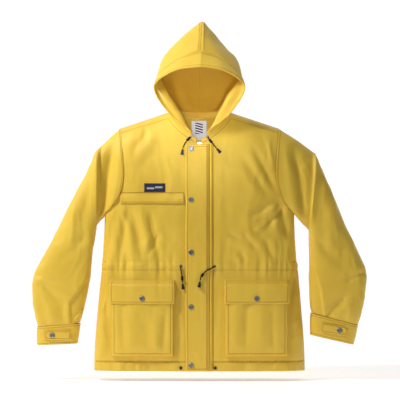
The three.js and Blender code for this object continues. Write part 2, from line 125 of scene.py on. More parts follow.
# The cords' routes, the same as in the CAD.
CORDS = {
    "hood_cord_right": [(-27, -99.5, -60), (-33, -101, -66), (-40, -102.5, -74), (-46, -103, -84),
                        (-50, -103, -94)],
    "hood_cord_left": [(25, -99.5, -60), (30, -101, -68), (37, -102, -77), (44, -102, -86),
                       (50, -102, -93)],
    "waist_cord_right": [(-56, -99.5, -447), (-56, -101, -456), (-54, -102.5, -468),
                         (-52, -103, -482), (-51, -103, -496)],
    "waist_cord_left": [(45, -99.5, -448), (42, -100, -450), (38, -100.5, -452), (34, -101.8, -455),
                        (29, -104.3, -457.5), (25, -104.9, -459), (20, -105.3, -462), (12, -105.3, -470),
                        (5, -105.8, -479), (2, -106.8, -490)],
}
BELLS = {
    "hood_cord_bell_right": ("hood_cord_right", (-51.5, -103, -105)),
    "hood_cord_bell_left": ("hood_cord_left", (57, -102, -101)),
    "waist_cord_end_right": ("waist_cord_right", (-50, -103, -508)),
    "waist_cord_end_left": ("waist_cord_left", (0, -107, -502)),
}


def metres(point):
    return np.array(point, float) / 1000


# ------------------------------------------------------------ camera, made first
PHOTO_CENTRE = (0.0015, -0.249)
LENS = 200
FRAME_WIDTH = 1.2             # of the view at the jacket's front, metres


def make_camera():
    data = bpy.data.cameras.new("camera")
    data.lens = LENS
    data.sensor_width = 36
    camera = bpy.data.objects.new("camera", data)
    camera.location = (PHOTO_CENTRE[0], FRONT_Y - FRAME_WIDTH * LENS / 36, PHOTO_CENTRE[1])
    camera.rotation_euler = (math.radians(90), 0, 0)
    bpy.context.scene.collection.objects.link(camera)
    bpy.context.scene.camera = camera


# ---------------------------------------------------------------- numbers on arrays
def smooth(x, low, high):
    t = np.clip((np.asarray(x, float) - low) / (high - low), 0, 1)
    return t * t * (3 - 2 * t)


def between(ends, t):
    return ends[0] + (ends[1] - ends[0]) * t


def hill(x, width):
    return np.exp(-(np.asarray(x, float) / width) ** 2)


def lattice(ix, iy, iz, seed):
    """A repeatable number from -1 to 1 for each corner of a lattice."""
    h = (ix.astype(np.uint32) * np.uint32(374761393) + iy.astype(np.uint32) * np.uint32(668265263)
         + iz.astype(np.uint32) * np.uint32(3266489917) + np.uint32(seed * 374761 + 12345))
    h ^= h >> np.uint32(13)
    h *= np.uint32(1274126177)
    h ^= h >> np.uint32(16)
    return h.astype(float) / 2**31 - 1


def noise(points, size, seed=0):
    """Smooth noise from -1 to 1 at points, with lumps of about that size (a number, or one for each axis)."""
    p = points / np.asarray(size, float) + 1000
    base = np.floor(p).astype(np.int64)
    f = p - base
    f = f * f * f * (f * (f * 6 - 15) + 10)
    total = 0
    for corner in itertools.product((0, 1), repeat=3):
        shares = [f[..., k] if far else 1 - f[..., k] for k, far in enumerate(corner)]
        index = [base[..., k] + corner[k] for k in range(3)]
        total = total + shares[0] * shares[1] * shares[2] * lattice(*index, seed)
    return total


def ridges(points, size, seed=0):
    """Noise folded into thin crests, for crumpled cloth: about 0 on average."""
    return 0.5 - np.abs(noise(points, size, seed)) * 1.6


def catmull(a, b, c, d, f):
    return 0.5 * (2 * b + (c - a) * f + (2 * a - 5 * b + 4 * c - d) * f**2 + (3 * b - a - 3 * c + d) * f**3)


def spline(points, t):
    """Catmull-Rom through points, at t from 0 to 1 (an array)."""
    p = np.array(points, float)
    p = np.vstack([2 * p[0] - p[1], p, 2 * p[-1] - p[-2]])
    spans = len(p) - 3
    s = np.clip(np.asarray(t, float) * spans, 0, spans - 1e-9)
    i = s.astype(int)
    return catmull(p[i], p[i + 1], p[i + 2], p[i + 3], (s - i)[..., None])


# ---------------------------------------------------------------- surfaces
def shoulder_z(x):
    return SHOULDER_TOP_Z - np.abs(x) * SHOULDER_SLOPE


def half_width(z):
    return 0.318 + (0.286 - 0.318) * smooth(z, -0.763, ARMPIT_Z)


def half_depth(x, z):
    across = np.minimum(np.abs(x) / half_width(z), 1)
    side = (1 - across**ROUNDING) ** (1 / ROUNDING)
    under = np.clip((shoulder_z(x) - z) / SHOULDER_ROUNDING, 0, 1)
    return HALF_DEPTH * side * np.sqrt(np.maximum(1 - (1 - under) ** 2, 0))


def neck_front_z(x):
    across = np.minimum(np.abs(x) / NECK_HALF_WIDTH, 1)
    return NECK_SIDE_Z - (NECK_SIDE_Z - NECK_FRONT_Z) * (1 - across**NECK_POWER) ** (1 / NECK_POWER)


def neck_back_z(x):
    return NECK_BACK_Z + (NECK_SIDE_Z - NECK_BACK_Z) * np.minimum(np.abs(x) / NECK_HALF_WIDTH, 1) ** 2


def torso(c, v, facing, inner_x, top_z):
    """Points of half a torso panel: c from the middle (0) to the side (1), v from hem to top."""
    above = 0.40
    spread = np.sin(np.clip(c, 0, 1) * math.pi / 2) * (1 - 2e-8)
    rise = np.clip((v - 1 + above) / above, 0, 1)
    edge = spline(ARMHOLE, rise)
    below = v < 1 - above
    level = np.where(below, HEM_Z + (ARMPIT_Z - HEM_Z) * v / (1 - above), edge[..., 1])
    outer = np.where(below, half_width(level), edge[..., 0])
    x = np.maximum(inner_x, outer * spread)
    top_x = np.maximum(inner_x, SHOULDER_TIP[0] * spread)
    top = np.where(top_x < NECK_HALF_WIDTH, top_z(top_x), shoulder_z(top_x))
    share = (level - ARMPIT_Z) / (SHOULDER_TIP[1] - ARMPIT_Z)
    z = np.where(below, level, ARMPIT_Z + (top - 1e-5 - ARMPIT_Z) * share)
    return np.stack([x, MID_Y + facing * half_depth(x, z), z], -1)


def polyline(points, t):
    """Straight runs through points, at t from 0 to 1 (an array)."""
    p = np.array(points, float)
    s = np.linspace(0, 1, len(p))
    return np.stack([np.interp(t, s, p[:, k]) for k in range(2)], -1)


def ring(outer, inner, depth, mid_y, side, u):
    """A flattened ring between an outer and an inner edge point (arrays of x, z), u round it."""
    angle = 2 * math.pi * u
    c, s = np.cos(angle), np.sin(angle)
    reach = np.sign(c) * np.abs(c) ** SLEEVE_ROUNDING
    bulge = np.sign(s) * np.abs(s) ** SLEEVE_ROUNDING
    middle = (outer + inner) / 2
    half = (outer - inner) / 2
    xz = middle + half * reach[..., None]
    return np.stack([xz[..., 0], mid_y + side * depth * bulge, xz[..., 1]], -1)


def armhole_ring(side, u):
    angle = 2 * math.pi * u
    edge = spline(ARMHOLE, 0.5 + 0.5 * np.cos(angle))
    deep = half_depth(edge[..., 0], edge[..., 1]) * np.sign(np.sin(angle))
    return np.stack([side * edge[..., 0], MID_Y + side * deep, edge[..., 1]], -1)


def sleeve_surface(spec, u, v):
    """u round the sleeve, v from the armhole down to the cuff."""
    side = spec["side"]
    t = np.clip((v - SLEEVE_HEAD) / (1 - SLEEVE_HEAD), 0, 1)
    depth = spline([(d, 0) for d in SLEEVE_DEPTHS], t)[..., 0]
    mid_y = MID_Y + SLEEVE_FORWARD * t**1.5
    tube = ring(polyline(spec["outer"], t), polyline(spec["inner"], t), depth, mid_y, side, u)
    head = np.clip(v / SLEEVE_HEAD, 0, 1)[..., None]
    return armhole_ring(side, u) * (1 - head) + tube * head


def neck_line(t, lift):
    """The neck seam from its front end (0) over the side (0.5) to the middle of the back (1)."""
    t = np.asarray(t, float)
    front = t < 0.5
    x = np.where(front, 0.024 + (NECK_HALF_WIDTH - 0.024) * t * 2,
                 NECK_HALF_WIDTH * np.cos(math.pi * (t - 0.5)))
    z = np.where(front, neck_front_z(x), neck_back_z(x))
    depth = half_depth(x, np.minimum(z, shoulder_z(x)))
    return np.stack([x, MID_Y + np.where(front, -1, 1) * depth, z + lift], -1)


def hood_surface(side, t, w):
    """t from the front end to the middle seam, w from the neck seam over the crown to the face edge."""
    lines = [neck_line(t, NECK_BAND_HEIGHT)]
    for row in HOOD_ROWS:
        points = [(side * x if k == len(row) - 1 else x, y, z) for k, (x, y, z) in enumerate(row)]
        lines.append(spline(points, t))
    spans = len(lines) - 1
    stack = np.stack([2 * lines[0] - lines[1], *lines, 2 * lines[-1] - lines[-2]])
    s = np.clip(w * spans, 0, spans - 1e-9)
    i = s.astype(int)
    index = np.indices(i.shape)
    a, b, c, d = (stack[(i + k, *index)] for k in range(4))
    return catmull(a, b, c, d, (s - i)[..., None]) * np.array([side, 1, 1])


# ---------------------------------------------------------------- meshes
def grid(at, columns, rows, ring_shaped=False):
    """An array of points, rows up and columns across, of at(u, v)."""
    u = np.arange(columns + (0 if ring_shaped else 1)) / columns
    v = np.arange(rows + 1) / rows
    uu, vv = np.meshgrid(u, v)
    return at(uu, vv), uu, vv


def normals(points, ring_shaped=False):
    if ring_shaped:
        wrapped = np.concatenate([points[:, -1:], points, points[:, :1]], 1)
        across = np.gradient(wrapped, axis=1)[:, 1:-1]
    else:
        across = np.gradient(points, axis=1)
    up = np.gradient(points, axis=0)
    n = np.cross(across, up)
    return n / np.maximum(np.linalg.norm(n, axis=-1, keepdims=True), 1e-12)


def push(points, height, ring_shaped=False):
    """The points moved along their outward normals."""
    return points + normals(points, ring_shaped) * height[..., None]


def mesh_object(name, points, faces, materials, smooth_shaded=True):
    mesh = bpy.data.meshes.new(name)
    mesh.from_pydata([tuple(p) for p in points], [], faces)
    mesh.validate()
    if smooth_shaded:
        mesh.polygons.foreach_set("use_smooth", [True] * len(mesh.polygons))
    for material in materials:
        mesh.materials.append(material)
    mesh.update()
    thing = bpy.data.objects.new(name, mesh)
    bpy.context.scene.collection.objects.link(thing)
    return thing


def cloth(name, points, ring_shaped=False, materials=None, thickness=CLOTH):
    """A sheet of cloth on a grid of points; its face is where u to the right and v up are seen."""
    rows, columns = points.shape[:2]
    index = np.arange(rows * columns).reshape(rows, columns)
    right = np.roll(index, -1, axis=1) if ring_shaped else index[:, 1:]
    left = index if ring_shaped else index[:, :-1]
    faces = np.stack([left[:-1], right[:-1], right[1:], left[1:]], -1).reshape(-1, 4)
    thing = mesh_object(name, points.reshape(-1, 3), faces.tolist(), materials or [SHELL, LINING])
    if thickness:
        solid = thing.modifiers.new("thickness", "SOLIDIFY")
        solid.thickness = thickness
        solid.offset = -1
        solid.material_offset = 1
    return thing


def circle(sides):
    """Pairs of cosine and sine round a circle."""
    return [(math.cos(2 * math.pi * k / sides), math.sin(2 * math.pi * k / sides)) for k in range(sides)]


def tube_faces(rings, sides):
    """Faces between rings of points that follow each other."""
    faces = []
    for first in range(0, (rings - 1) * sides, sides):
        for k in range(sides):
            n = (k + 1) % sides
            faces.append((first + k, first + n, first + sides + n, first + sides + k))
    return faces


def turned(name, profile, place, toward, material, sides=40):
    """A piece turned from a profile of (radius, height), its base at place, standing along toward."""
    rings = [[(r * c, r * s, h) for c, s in circle(sides)] for r, h in profile]
    points = np.array(rings).reshape(-1, 3) @ np.array(basis(toward)) + np.array(place)
    thing = mesh_object(name, points, tube_faces(len(profile), sides), [material])
    weld = thing.modifiers.new("weld", "WELD")
    weld.merge_threshold = 1e-6
    return thing


def basis(toward):
    """Rows: two directions across and one along toward."""
    z = np.array(toward, float)
    z /= np.linalg.norm(z)
    helper = np.array((0.0, 0.0, 1.0)) if abs(z[2]) < 0.9 else np.array((1.0, 0.0, 0.0))
    x = np.cross(helper, z)
    x /= np.linalg.norm(x)
    return x, np.cross(z, x), z


def settle(piece, nodes, attach):
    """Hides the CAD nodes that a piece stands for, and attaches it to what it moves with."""
    if nodes:
        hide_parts(*nodes)
    attach(piece)
    return piece


SEAM_HALF = 0.0009              # half the width of the crease that a row of stitches pulls in


def seam_shade_ribbons(name, lines, attach):
    """A darker strip along each row of stitches: painted shade of the crease where the cloth is doubled and
    pulled in.
    """
    corners = []
    faces = []
    for points, out in lines:
        along = np.gradient(points, axis=0)
        across = np.cross(out, along)
        across *= SEAM_HALF / np.maximum(np.linalg.norm(across, axis=1, keepdims=True), 1e-9)
        first = len(corners)
        for place, n, side in zip(points, out, across):
            corners += [place + n * 0.00012 - side, place + n * 0.00022, place + n * 0.00012 + side]
        for a in range(first, len(corners) - 3, 3):
            faces += [(a, a + 1, a + 4, a + 3), (a + 1, a + 2, a + 5, a + 4)]
    settle(mesh_object(name, corners, faces, [SEAM_SHADE]), [], attach)


def along_line(s, lengths, values):
    return np.stack([np.interp(s, lengths, values[:, k]) for k in range(3)], -1)


def unit(vectors):
    return vectors / np.maximum(np.linalg.norm(vectors, axis=1, keepdims=True), 1e-9)


def stitches(name, lines, attach):
    """Rows of short thread stitches lying on the lines, each an array of points with its normals."""
    # under the stitches, a strip of painted crease shade
    seam_shade_ribbons(name.replace("stitching", "seams"), lines, attach)
    corners = []
    faces = []
    for points, out in lines:
        lengths = np.concatenate([[0], np.cumsum(np.linalg.norm(np.diff(points, axis=0), axis=1))])
        starts = np.arange(int(lengths[-1] / (STITCH + STITCH_GAP))) * (STITCH + STITCH_GAP)
        a = along_line(starts, lengths, points)
        b = along_line(starts + STITCH, lengths, points)
        n = unit(along_line(starts + STITCH / 2, lengths, out))
        across = np.cross(n, unit(b - a)) * THREAD
        up = n * THREAD
        middle = (a + b) / 2 + up * 0.8
        for k in range(len(starts)):
            first = len(corners)
            corners += [a[k], middle[k] + across[k], middle[k] + up[k], middle[k] - across[k],
                        middle[k] - up[k], b[k]]
            for i in range(4):
                faces.append((first, first + 1 + (i + 1) % 4, first + 1 + i))
                faces.append((first + 5, first + 1 + i, first + 1 + (i + 1) % 4))
    settle(mesh_object(name, corners, faces, [THREAD_YELLOW]), [], attach)


# ---------------------------------------------------------------- materials
WHITE = (0.93, 0.96, 1.0)
BAR_SLANT = 0.28                # of the neck label's bars
BAR_PITCH = 0.0078
BARS_CENTRE = (-0.0015, -0.0310)
BARS_HALF = (0.0115, 0.0170)


def new_material(name, color, roughness, metallic=0.0):
    material = bpy.data.materials.new(name)
    material.use_nodes = True
    shader = material.node_tree.nodes["Principled BSDF"]
    shader.inputs["Base Color"].default_value = (*color, 1)
    shader.inputs["Roughness"].default_value = roughness
    shader.inputs["Metallic"].default_value = metallic
    return material, material.node_tree, shader


def node(tree, kind, **settings):
    made = tree.nodes.new(kind)
    for key, value in settings.items():
        if key in made.inputs:
            made.inputs[key].default_value = value
        else:
            setattr(made, key, value)
    return made


def texture(tree, kind, scale, stretch=(1, 1, 1), **settings):
    """A procedural texture in object coordinates."""
    place = node(tree, "ShaderNodeTexCoord")
    mapping = node(tree, "ShaderNodeMapping")
    mapping.inputs["Scale"].default_value = stretch
    made = node(tree, kind, Scale=scale, **settings)
    link(tree, place.outputs["Object"], mapping.inputs["Vector"],
         mapping.outputs["Vector"], made.inputs["Vector"])
    return made


def colour_ramp(tree, source, stops):
    ramp = node(tree, "ShaderNodeValToRGB")
    while len(ramp.color_ramp.elements) < len(stops):
        ramp.color_ramp.elements.new(0.5)
    for element, (position, color) in zip(ramp.color_ramp.elements, stops):
        element.position = position
        element.color = (*color, 1)
    link(tree, source, ramp.inputs["Fac"])
    return ramp


def link(tree, *pairs):
    """Joins outputs to inputs, given one after the other."""
    for source, target in zip(pairs[::2], pairs[1::2]):
        tree.links.new(source, target)


def weave_bump(tree, shader, thread, strength, extra=None, extra_strength=0.0):
    """Two crossed waves at the thread's pitch, and an optional coarser height under them."""
    both = node(tree, "ShaderNodeMath", operation="MULTIPLY")
    for k, direction in enumerate("XZ"):
        wave = texture(tree, "ShaderNodeTexWave", 1 / thread / 2.2, bands_direction=direction)
        wave.wave_type = "BANDS"
        link(tree, wave.outputs["Fac"], both.inputs[k])
    bump = node(tree, "ShaderNodeBump", Strength=strength, Distance=thread * 0.6)
    link(tree, both.outputs[0], bump.inputs["Height"])
    if extra is not None:
        under = node(tree, "ShaderNodeBump", Strength=extra_strength, Distance=0.0010)
        link(tree, extra, under.inputs["Height"], under.outputs["Normal"], bump.inputs["Normal"])
    link(tree, bump.outputs["Normal"], shader.inputs["Normal"])


def varied_roughness(tree, shader, source, low, high):
    level = node(tree, "ShaderNodeMapRange")
    level.inputs["To Min"].default_value = low
    level.inputs["To Max"].default_value = high
    link(tree, source, level.inputs["Value"], level.outputs["Result"], shader.inputs["Roughness"])


def cloth_material(name, light, dark, roughness, thread=0.0006, bump=0.35, crinkle=0.35, sheen=0.12):
    """Coated cloth: slow changes of shade, a fine weave and a soft crinkle."""
    material, tree, shader = new_material(name, light, roughness)
    patches = texture(tree, "ShaderNodeTexNoise", 9.0, Detail=5.0, Roughness=0.6)
    ramp = colour_ramp(tree, patches.outputs["Fac"], [(0.32, dark), (0.68, light)])
    link(tree, ramp.outputs["Color"], shader.inputs["Base Color"])
    fine = texture(tree, "ShaderNodeTexNoise", 55.0, Detail=6.0, Roughness=0.55)
    varied_roughness(tree, shader, fine.outputs["Fac"], roughness - 0.07, roughness + 0.09)
    shader.inputs["Sheen Weight"].default_value = sheen
    shader.inputs["Sheen Roughness"].default_value = 0.45
    shader.inputs["Sheen Tint"].default_value = (1.0, 0.80, 0.35, 1)
    weave_bump(tree, shader, thread, bump, fine.outputs["Fac"], crinkle)
    return material


def metal_material():
    material, tree, shader = new_material("snap_metal", (0.30, 0.33, 0.35), 0.3, 1.0)
    wear = texture(tree, "ShaderNodeTexNoise", 900.0, Detail=4.0)
    stops = [(0.35, (0.14, 0.155, 0.165)), (0.65, (0.36, 0.39, 0.41))]
    ramp = colour_ramp(tree, wear.outputs["Fac"], stops)
    link(tree, ramp.outputs["Color"], shader.inputs["Base Color"])
    varied_roughness(tree, shader, wear.outputs["Fac"], 0.16, 0.42)
    return material


def grain_bump(tree, shader, height, strength, distance):
    bump = node(tree, "ShaderNodeBump", Strength=strength, Distance=distance)
    link(tree, height, bump.inputs["Height"], bump.outputs["Normal"], shader.inputs["Normal"])


def cord_material():
    material, tree, shader = new_material("cord_braid", (0.010, 0.010, 0.012), 0.75)
    braid = texture(tree, "ShaderNodeTexVoronoi", 1100.0, (1, 1, 0.5))
    stops = [(0.1, (0.022, 0.022, 0.025)), (0.6, (0.004, 0.004, 0.005))]
    ramp = colour_ramp(tree, braid.outputs["Distance"], stops)
    link(tree, ramp.outputs["Color"], shader.inputs["Base Color"])
    grain_bump(tree, shader, braid.outputs["Distance"], 0.7, 0.0006)
    shader.inputs["Specular IOR Level"].default_value = 0.2
    return material


def plastic_material():
    material, tree, shader = new_material("cord_end_plastic", (0.012, 0.012, 0.014), 0.42)
    grain = texture(tree, "ShaderNodeTexNoise", 1500.0, Detail=3.0)
    grain_bump(tree, shader, grain.outputs["Fac"], 0.25, 0.0002)
    return material


def striped_label_material():
    """White woven label with generic slanted bars."""
    material, tree, shader = new_material("label_weave", WHITE, 0.6)
    place = node(tree, "ShaderNodeTexCoord")
    split = node(tree, "ShaderNodeSeparateXYZ")
    link(tree, place.outputs["Object"], split.inputs["Vector"])
    x, z = split.outputs["X"], split.outputs["Z"]

    def calc(operation, first, second=0):
        made = node(tree, "ShaderNodeMath", operation=operation)
        for k, value in enumerate((first, second)):
            if isinstance(value, (int, float)):
                made.inputs[k].default_value = value
            else:
                link(tree, value, made.inputs[k])
        return made.outputs[0]

    slant = calc("ADD", calc("MULTIPLY", x, BAR_SLANT), z)
    bars = calc("GREATER_THAN", calc("FRACT", calc("DIVIDE", slant, BAR_PITCH)), 0.48)
    near_x = calc("LESS_THAN", calc("ABSOLUTE", calc("ADD", x, -BARS_CENTRE[0])), BARS_HALF[0])
    near_z = calc("LESS_THAN", calc("ABSOLUTE", calc("ADD", z, -BARS_CENTRE[1])), BARS_HALF[1])
    mark = calc("MULTIPLY", bars, calc("MULTIPLY", near_x, near_z))
    ramp = colour_ramp(tree, mark, [(0.0, WHITE), (1.0, (0.030, 0.036, 0.060))])
    link(tree, ramp.outputs["Color"], shader.inputs["Base Color"])
    weave_bump(tree, shader, 0.0005, 0.4)
    return material


def badge_material():
    """Navy weave."""
    material, tree, shader = new_material("badge_weave", (0.010, 0.014, 0.040), 0.7)
    weave_bump(tree, shader, 0.0006, 0.6)
    shades = texture(tree, "ShaderNodeTexNoise", 400.0, Detail=3.0)
    stops = [(0.3, (0.006, 0.008, 0.026)), (0.7, (0.016, 0.022, 0.055))]
    ramp = colour_ramp(tree, shades.outputs["Fac"], stops)
    link(tree, ramp.outputs["Color"], shader.inputs["Base Color"])
    return material


SHELL = cloth_material("shell_cloth", (0.84, 0.575, 0.056), (0.80, 0.525, 0.045), 0.50)
LINING = cloth_material("lining_cloth", (0.86, 0.56, 0.055), (0.80, 0.49, 0.045), 0.62, crinkle=0.2,
                        sheen=0.1)
# the thread is darker orange than the cloth: painted shade of the seam grooves
THREAD_YELLOW = cloth_material("thread", (0.62, 0.30, 0.020), (0.54, 0.25, 0.015), 0.6, 0.0003, sheen=0.0)
# darker orange for the seam strips: painted shade in the creases of the stitch rows
SEAM_SHADE = cloth_material("seam_painted_shade", (0.60, 0.30, 0.018), (0.54, 0.26, 0.014), 0.7, sheen=0.0)
METAL = metal_material()
CORD = cord_material()
PLASTIC = plastic_material()
LABEL = striped_label_material()
LABEL_PLAIN = cloth_material("label_plain", (0.90, 0.93, 0.98), (0.82, 0.86, 0.93), 0.6, 0.0005, crinkle=0.1)
BADGE = badge_material()
BADGE_MARK = cloth_material("badge_mark", (0.55, 0.57, 0.62), (0.48, 0.50, 0.56), 0.7, 0.0005, crinkle=0.1)
ZIP_TAPE = cloth_material("zip_tape", (0.72, 0.43, 0.06), (0.64, 0.37, 0.05), 0.75, 0.0009, crinkle=0.1)


# ---------------------------------------------------------------- folds
def beside_line(x, z, start, end, fade):
    """How far points lie to the right of the way from start to end, and a weight that fades at both ends."""
    a, b = np.array(start, float), np.array(end, float)
    length = np.hypot(*(b - a))
    d = (b - a) / length
    along = ((x - a[0]) * d[0] + (z - a[1]) * d[1]) / length
    off = (x - a[0]) * d[1] - (z - a[1]) * d[0]
    return off, smooth(along, -fade * 0.4, fade) * smooth(1 - along, -fade * 0.4, fade)


def fold(x, z, start, end, width, depth, fade=0.3):
    """A crease from start to end: depth is out (+) or in (-)."""
    off, ends = beside_line(x, z, start, end, fade)
    crease = np.exp(1.0 - np.sqrt((off / (0.62 * width)) ** 2 + 1.0))
    banks = 0.40 * hill(off - 1.9 * width, 1.2 * width) + 0.25 * hill(off + 1.9 * width, 1.2 * width)
    return 1.7 * depth * ends * (crease - banks)


def step(x, z, start, end, reach, height, fade=0.25):
    """A sharp edge where cloth lies over cloth: high on the right of the way from start to end."""
    off, ends = beside_line(x, z, start, end, fade)
    return height * ends * np.tanh(off / 0.0028) * np.exp(-np.abs(off) / reach)


def folds(x, z, creases):
    return sum((fold(x, z, *crease) for crease in creases), np.zeros_like(x))


def steps(x, z, edges):
    return sum((step(x, z, *edge) for edge in edges), np.zeros_like(x))


FRONT_FOLDS = [
    # start, end, width, depth
    ((-0.217, -0.277), (-0.240, -0.425), 0.012, -0.0042),
    ((-0.207, -0.270), (-0.172, -0.430), 0.014, -0.0045),
    ((-0.149, -0.287), (-0.122, -0.440), 0.010, -0.0034),
    ((-0.119, -0.345), (-0.160, -0.425), 0.009, -0.0026),
    ((-0.240, -0.270), (-0.205, -0.350), 0.008, 0.0022),
    ((-0.268, -0.310), (-0.275, -0.440), 0.012, -0.0030),
    ((-0.100, -0.060), (-0.190, -0.170), 0.016, -0.0018),
    ((-0.150, -0.030), (-0.205, -0.110), 0.012, -0.0022),
    ((-0.075, -0.100), (-0.080, -0.220), 0.020, 0.0016),
    ((0.162, -0.090), (0.226, -0.215), 0.010, -0.0034),
    ((0.130, -0.120), (0.206, -0.236), 0.012, -0.0024),
    ((0.205, -0.070), (0.222, -0.150), 0.008, 0.0024),
    ((0.235, -0.247), (0.266, -0.365), 0.012, -0.0050),
    ((0.201, -0.330), (0.262, -0.262), 0.010, -0.0032),
    ((0.150, -0.300), (0.235, -0.252), 0.010, -0.0024),
    ((0.088, -0.352), (0.148, -0.378), 0.008, -0.0030),
    ((0.130, -0.350), (0.174, -0.398), 0.008, -0.0032),
    ((0.165, -0.340), (0.205, -0.318), 0.008, 0.0022),
    ((0.196, -0.366), (0.224, -0.430), 0.010, -0.0032),
    ((0.118, -0.400), (0.140, -0.436), 0.008, -0.0022),
    ((0.075, -0.150), (0.082, -0.330), 0.018, -0.0014),
    ((0.296, -0.462), (0.264, -0.580), 0.010, -0.0042),
    ((0.280, -0.560), (0.296, -0.740), 0.012, 0.0026),
    ((-0.290, -0.470), (-0.276, -0.610), 0.012, -0.0030),
    ((-0.288, -0.600), (-0.300, -0.740), 0.014, 0.0022),
    ((-0.052, -0.490), (-0.064, -0.600), 0.009, -0.0020),
    ((-0.062, -0.620), (-0.054, -0.720), 0.008, -0.0018),
    ((0.055, -0.480), (0.050, -0.640), 0.009, -0.0020),
]

BACK_FOLDS = [
    ((-0.200, -0.120), (-0.120, -0.260), 0.020, -0.0050),
    ((0.200, -0.120), (0.120, -0.260), 0.020, -0.0050),
    ((-0.215, -0.240), (-0.205, -0.430), 0.016, -0.0060),
    ((0.215, -0.240), (0.200, -0.430), 0.016, -0.0060),
    ((-0.110, -0.200), (-0.100, -0.430), 0.024, 0.0045),
    ((0.120, -0.210), (0.105, -0.430), 0.024, 0.0045),
    ((0.010, -0.160), (-0.010, -0.430), 0.026, -0.0040),
    ((-0.170, -0.470), (-0.190, -0.730), 0.020, 0.0055),
    ((0.160, -0.470), (0.185, -0.730), 0.020, 0.0055),
    ((-0.060, -0.470), (-0.075, -0.720), 0.018, -0.0050),
    ((0.060, -0.470), (0.085, -0.720), 0.018, -0.0050),
    ((-0.262, -0.480), (-0.268, -0.700), 0.014, -0.0050),
    ((0.262, -0.480), (0.272, -0.700), 0.014, -0.0050),
]


def gathers(points, z_line, reach, depth, seed, pitch=0.013):
    """Small puckers that run up and down from a drawn line."""
    x, z = points[..., 0], points[..., 2]
    near = np.abs(z - z_line)
    side = np.where(z > z_line, 1, -1)
    flat = np.stack([x, points[..., 1], 0 * x + side * 0.3], -1)
    lumps = noise(flat, (pitch, pitch * 2, 1), seed) + 0.6 * noise(flat, (pitch * 0.55, pitch, 1), seed + 1)
    long_lumps = noise(flat, (pitch * 2.6, pitch * 4, 1), seed + 2)
    return depth * (lumps * np.exp(-near / (reach * 0.45)) + 0.9 * long_lumps * np.exp(-near / reach))


def drape(points, seed, amount=1.0):
    """The uneven lie of crisp cloth: slow waves, long vertical crests and small crumples."""
    bent = points + 0.030 * np.stack([noise(points, 0.10, seed + 5), 0 * points[..., 0],
                                      noise(points, 0.12, seed + 6)], -1)
    slow = 0.0032 * noise(bent, (0.12, 0.12, 0.26), seed)
    crests = 0.0030 * ridges(bent, (0.062, 0.062, 0.19), seed + 1)
    crumples = 0.0014 * ridges(bent, (0.026, 0.026, 0.046), seed + 2)
    return amount * (slow + crests + crumples)


def waist_and_hem(points):
    """The cinched casing at the waist and the gathered hem."""
    z = points[..., 2]
    casing = 0.0015 * hill((z - WAIST_Z) / CASING_HALF, 1.0)
    for edge in (WAIST_Z + CASING_HALF, WAIST_Z - CASING_HALF, HEM_Z + HEM_FACING):
        casing = casing - 0.0016 * hill(z - edge, 0.0030)
    puckers = gathers(points, WAIST_Z, 0.065, 0.0043, 31, 0.011) * smooth(np.abs(points[..., 0]), 0.03, 0.09)
    hem = gathers(points, HEM_Z + 0.012, 0.055, 0.0031, 41)
    return casing + puckers + hem


# ---------------------------------------------------------------- what each piece moves with
def on(body):
    """Rides rigidly on a body."""
    return lambda piece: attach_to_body(piece, body)


on_shell = on("shell")


def bends():
    """Cloth across a joint: its placement is baked into its mesh, and it is left unattached to either body."""
    return lambda piece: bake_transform(piece)


def sleeve_bend():
    """For the sleeve: its placement is baked into its mesh, as for any cloth across a joint."""
    return bends()


hood_bend = bends()


# ---------------------------------------------------------------- the torso
POCKET_X = (0.075, 0.267)
POCKET_TOP = -0.493
POCKET_BOTTOM = -0.717
POCKET_DEPTH = 0.0105
FLAP_DROP = 0.067


def pocket_area(x, z):
    """1 under a patch pocket, and 0 away from it."""
    x = np.abs(x)
    across = smooth(x, POCKET_X[0] - 0.020, POCKET_X[0]) * smooth(-x, -POCKET_X[1] - 0.016, -POCKET_X[1])
    up = smooth(z, POCKET_BOTTOM - 0.020, POCKET_BOTTOM) * smooth(-z, -POCKET_TOP - 0.012, -POCKET_TOP)
    return across * up


def front_height(points):
    x, z = points[..., 0], points[..., 2]
    quiet = smooth(np.abs(x), 0.030, 0.075)             # the front closing keeps the cloth flat
    edge = smooth(shoulder_z(x) - z, 0.0, 0.03)         # and so does the shoulder seam
    calm = 1 - 0.85 * pocket_area(x, z)
    height = (drape(points, 3) + folds(x, z, FRONT_FOLDS)) * quiet * edge * calm
    return height + waist_and_hem(points)


def back_height(points):
    x, z = points[..., 0], points[..., 2]
    edge = smooth(shoulder_z(x) - z, 0.0, 0.03)
    yoke = -0.0014 * hill(z - YOKE_Z, 0.0025)
    return (drape(points, 7, 1.2) + folds(x, z, BACK_FOLDS) + yoke) * edge + waist_and_hem(points)


def side_fade(x, z):
    return smooth(half_width(z) - np.abs(x), 0.0, 0.010)


def on_torso(x, z, facing, height_of, proud=0.0):
    """Points over the folded front (facing -1) or back (+1), and the directions out of it."""
    nudge = 1e-4
    depth = half_depth(x, z)
    slope_x = (half_depth(x + nudge, z) - half_depth(x - nudge, z)) / (2 * nudge)
    slope_z = (half_depth(x, z + nudge) - half_depth(x, z - nudge)) / (2 * nudge)
    out = np.stack([-slope_x, facing * np.ones_like(x), -slope_z], -1)
    out /= np.linalg.norm(out, axis=-1, keepdims=True)
    points = np.stack([x, MID_Y + facing * depth, z], -1)
    height = height_of(points) * side_fade(x, z) + proud
    return points + out * height[..., None], out


def on_front(x, z, proud=0.0):
    return on_torso(x, z, -1, front_height, proud)


def front_line(points, proud=0.0, count=200):
    """A line over the front through (x, z) points, with its normals."""
    t = np.linspace(0, 1, count)
    path = spline(points, t) if len(points) > 2 else (
        np.array(points[0]) * (1 - t)[:, None] + np.array(points[1]) * t[:, None])
    return on_front(path[:, 0], path[:, 1], proud)


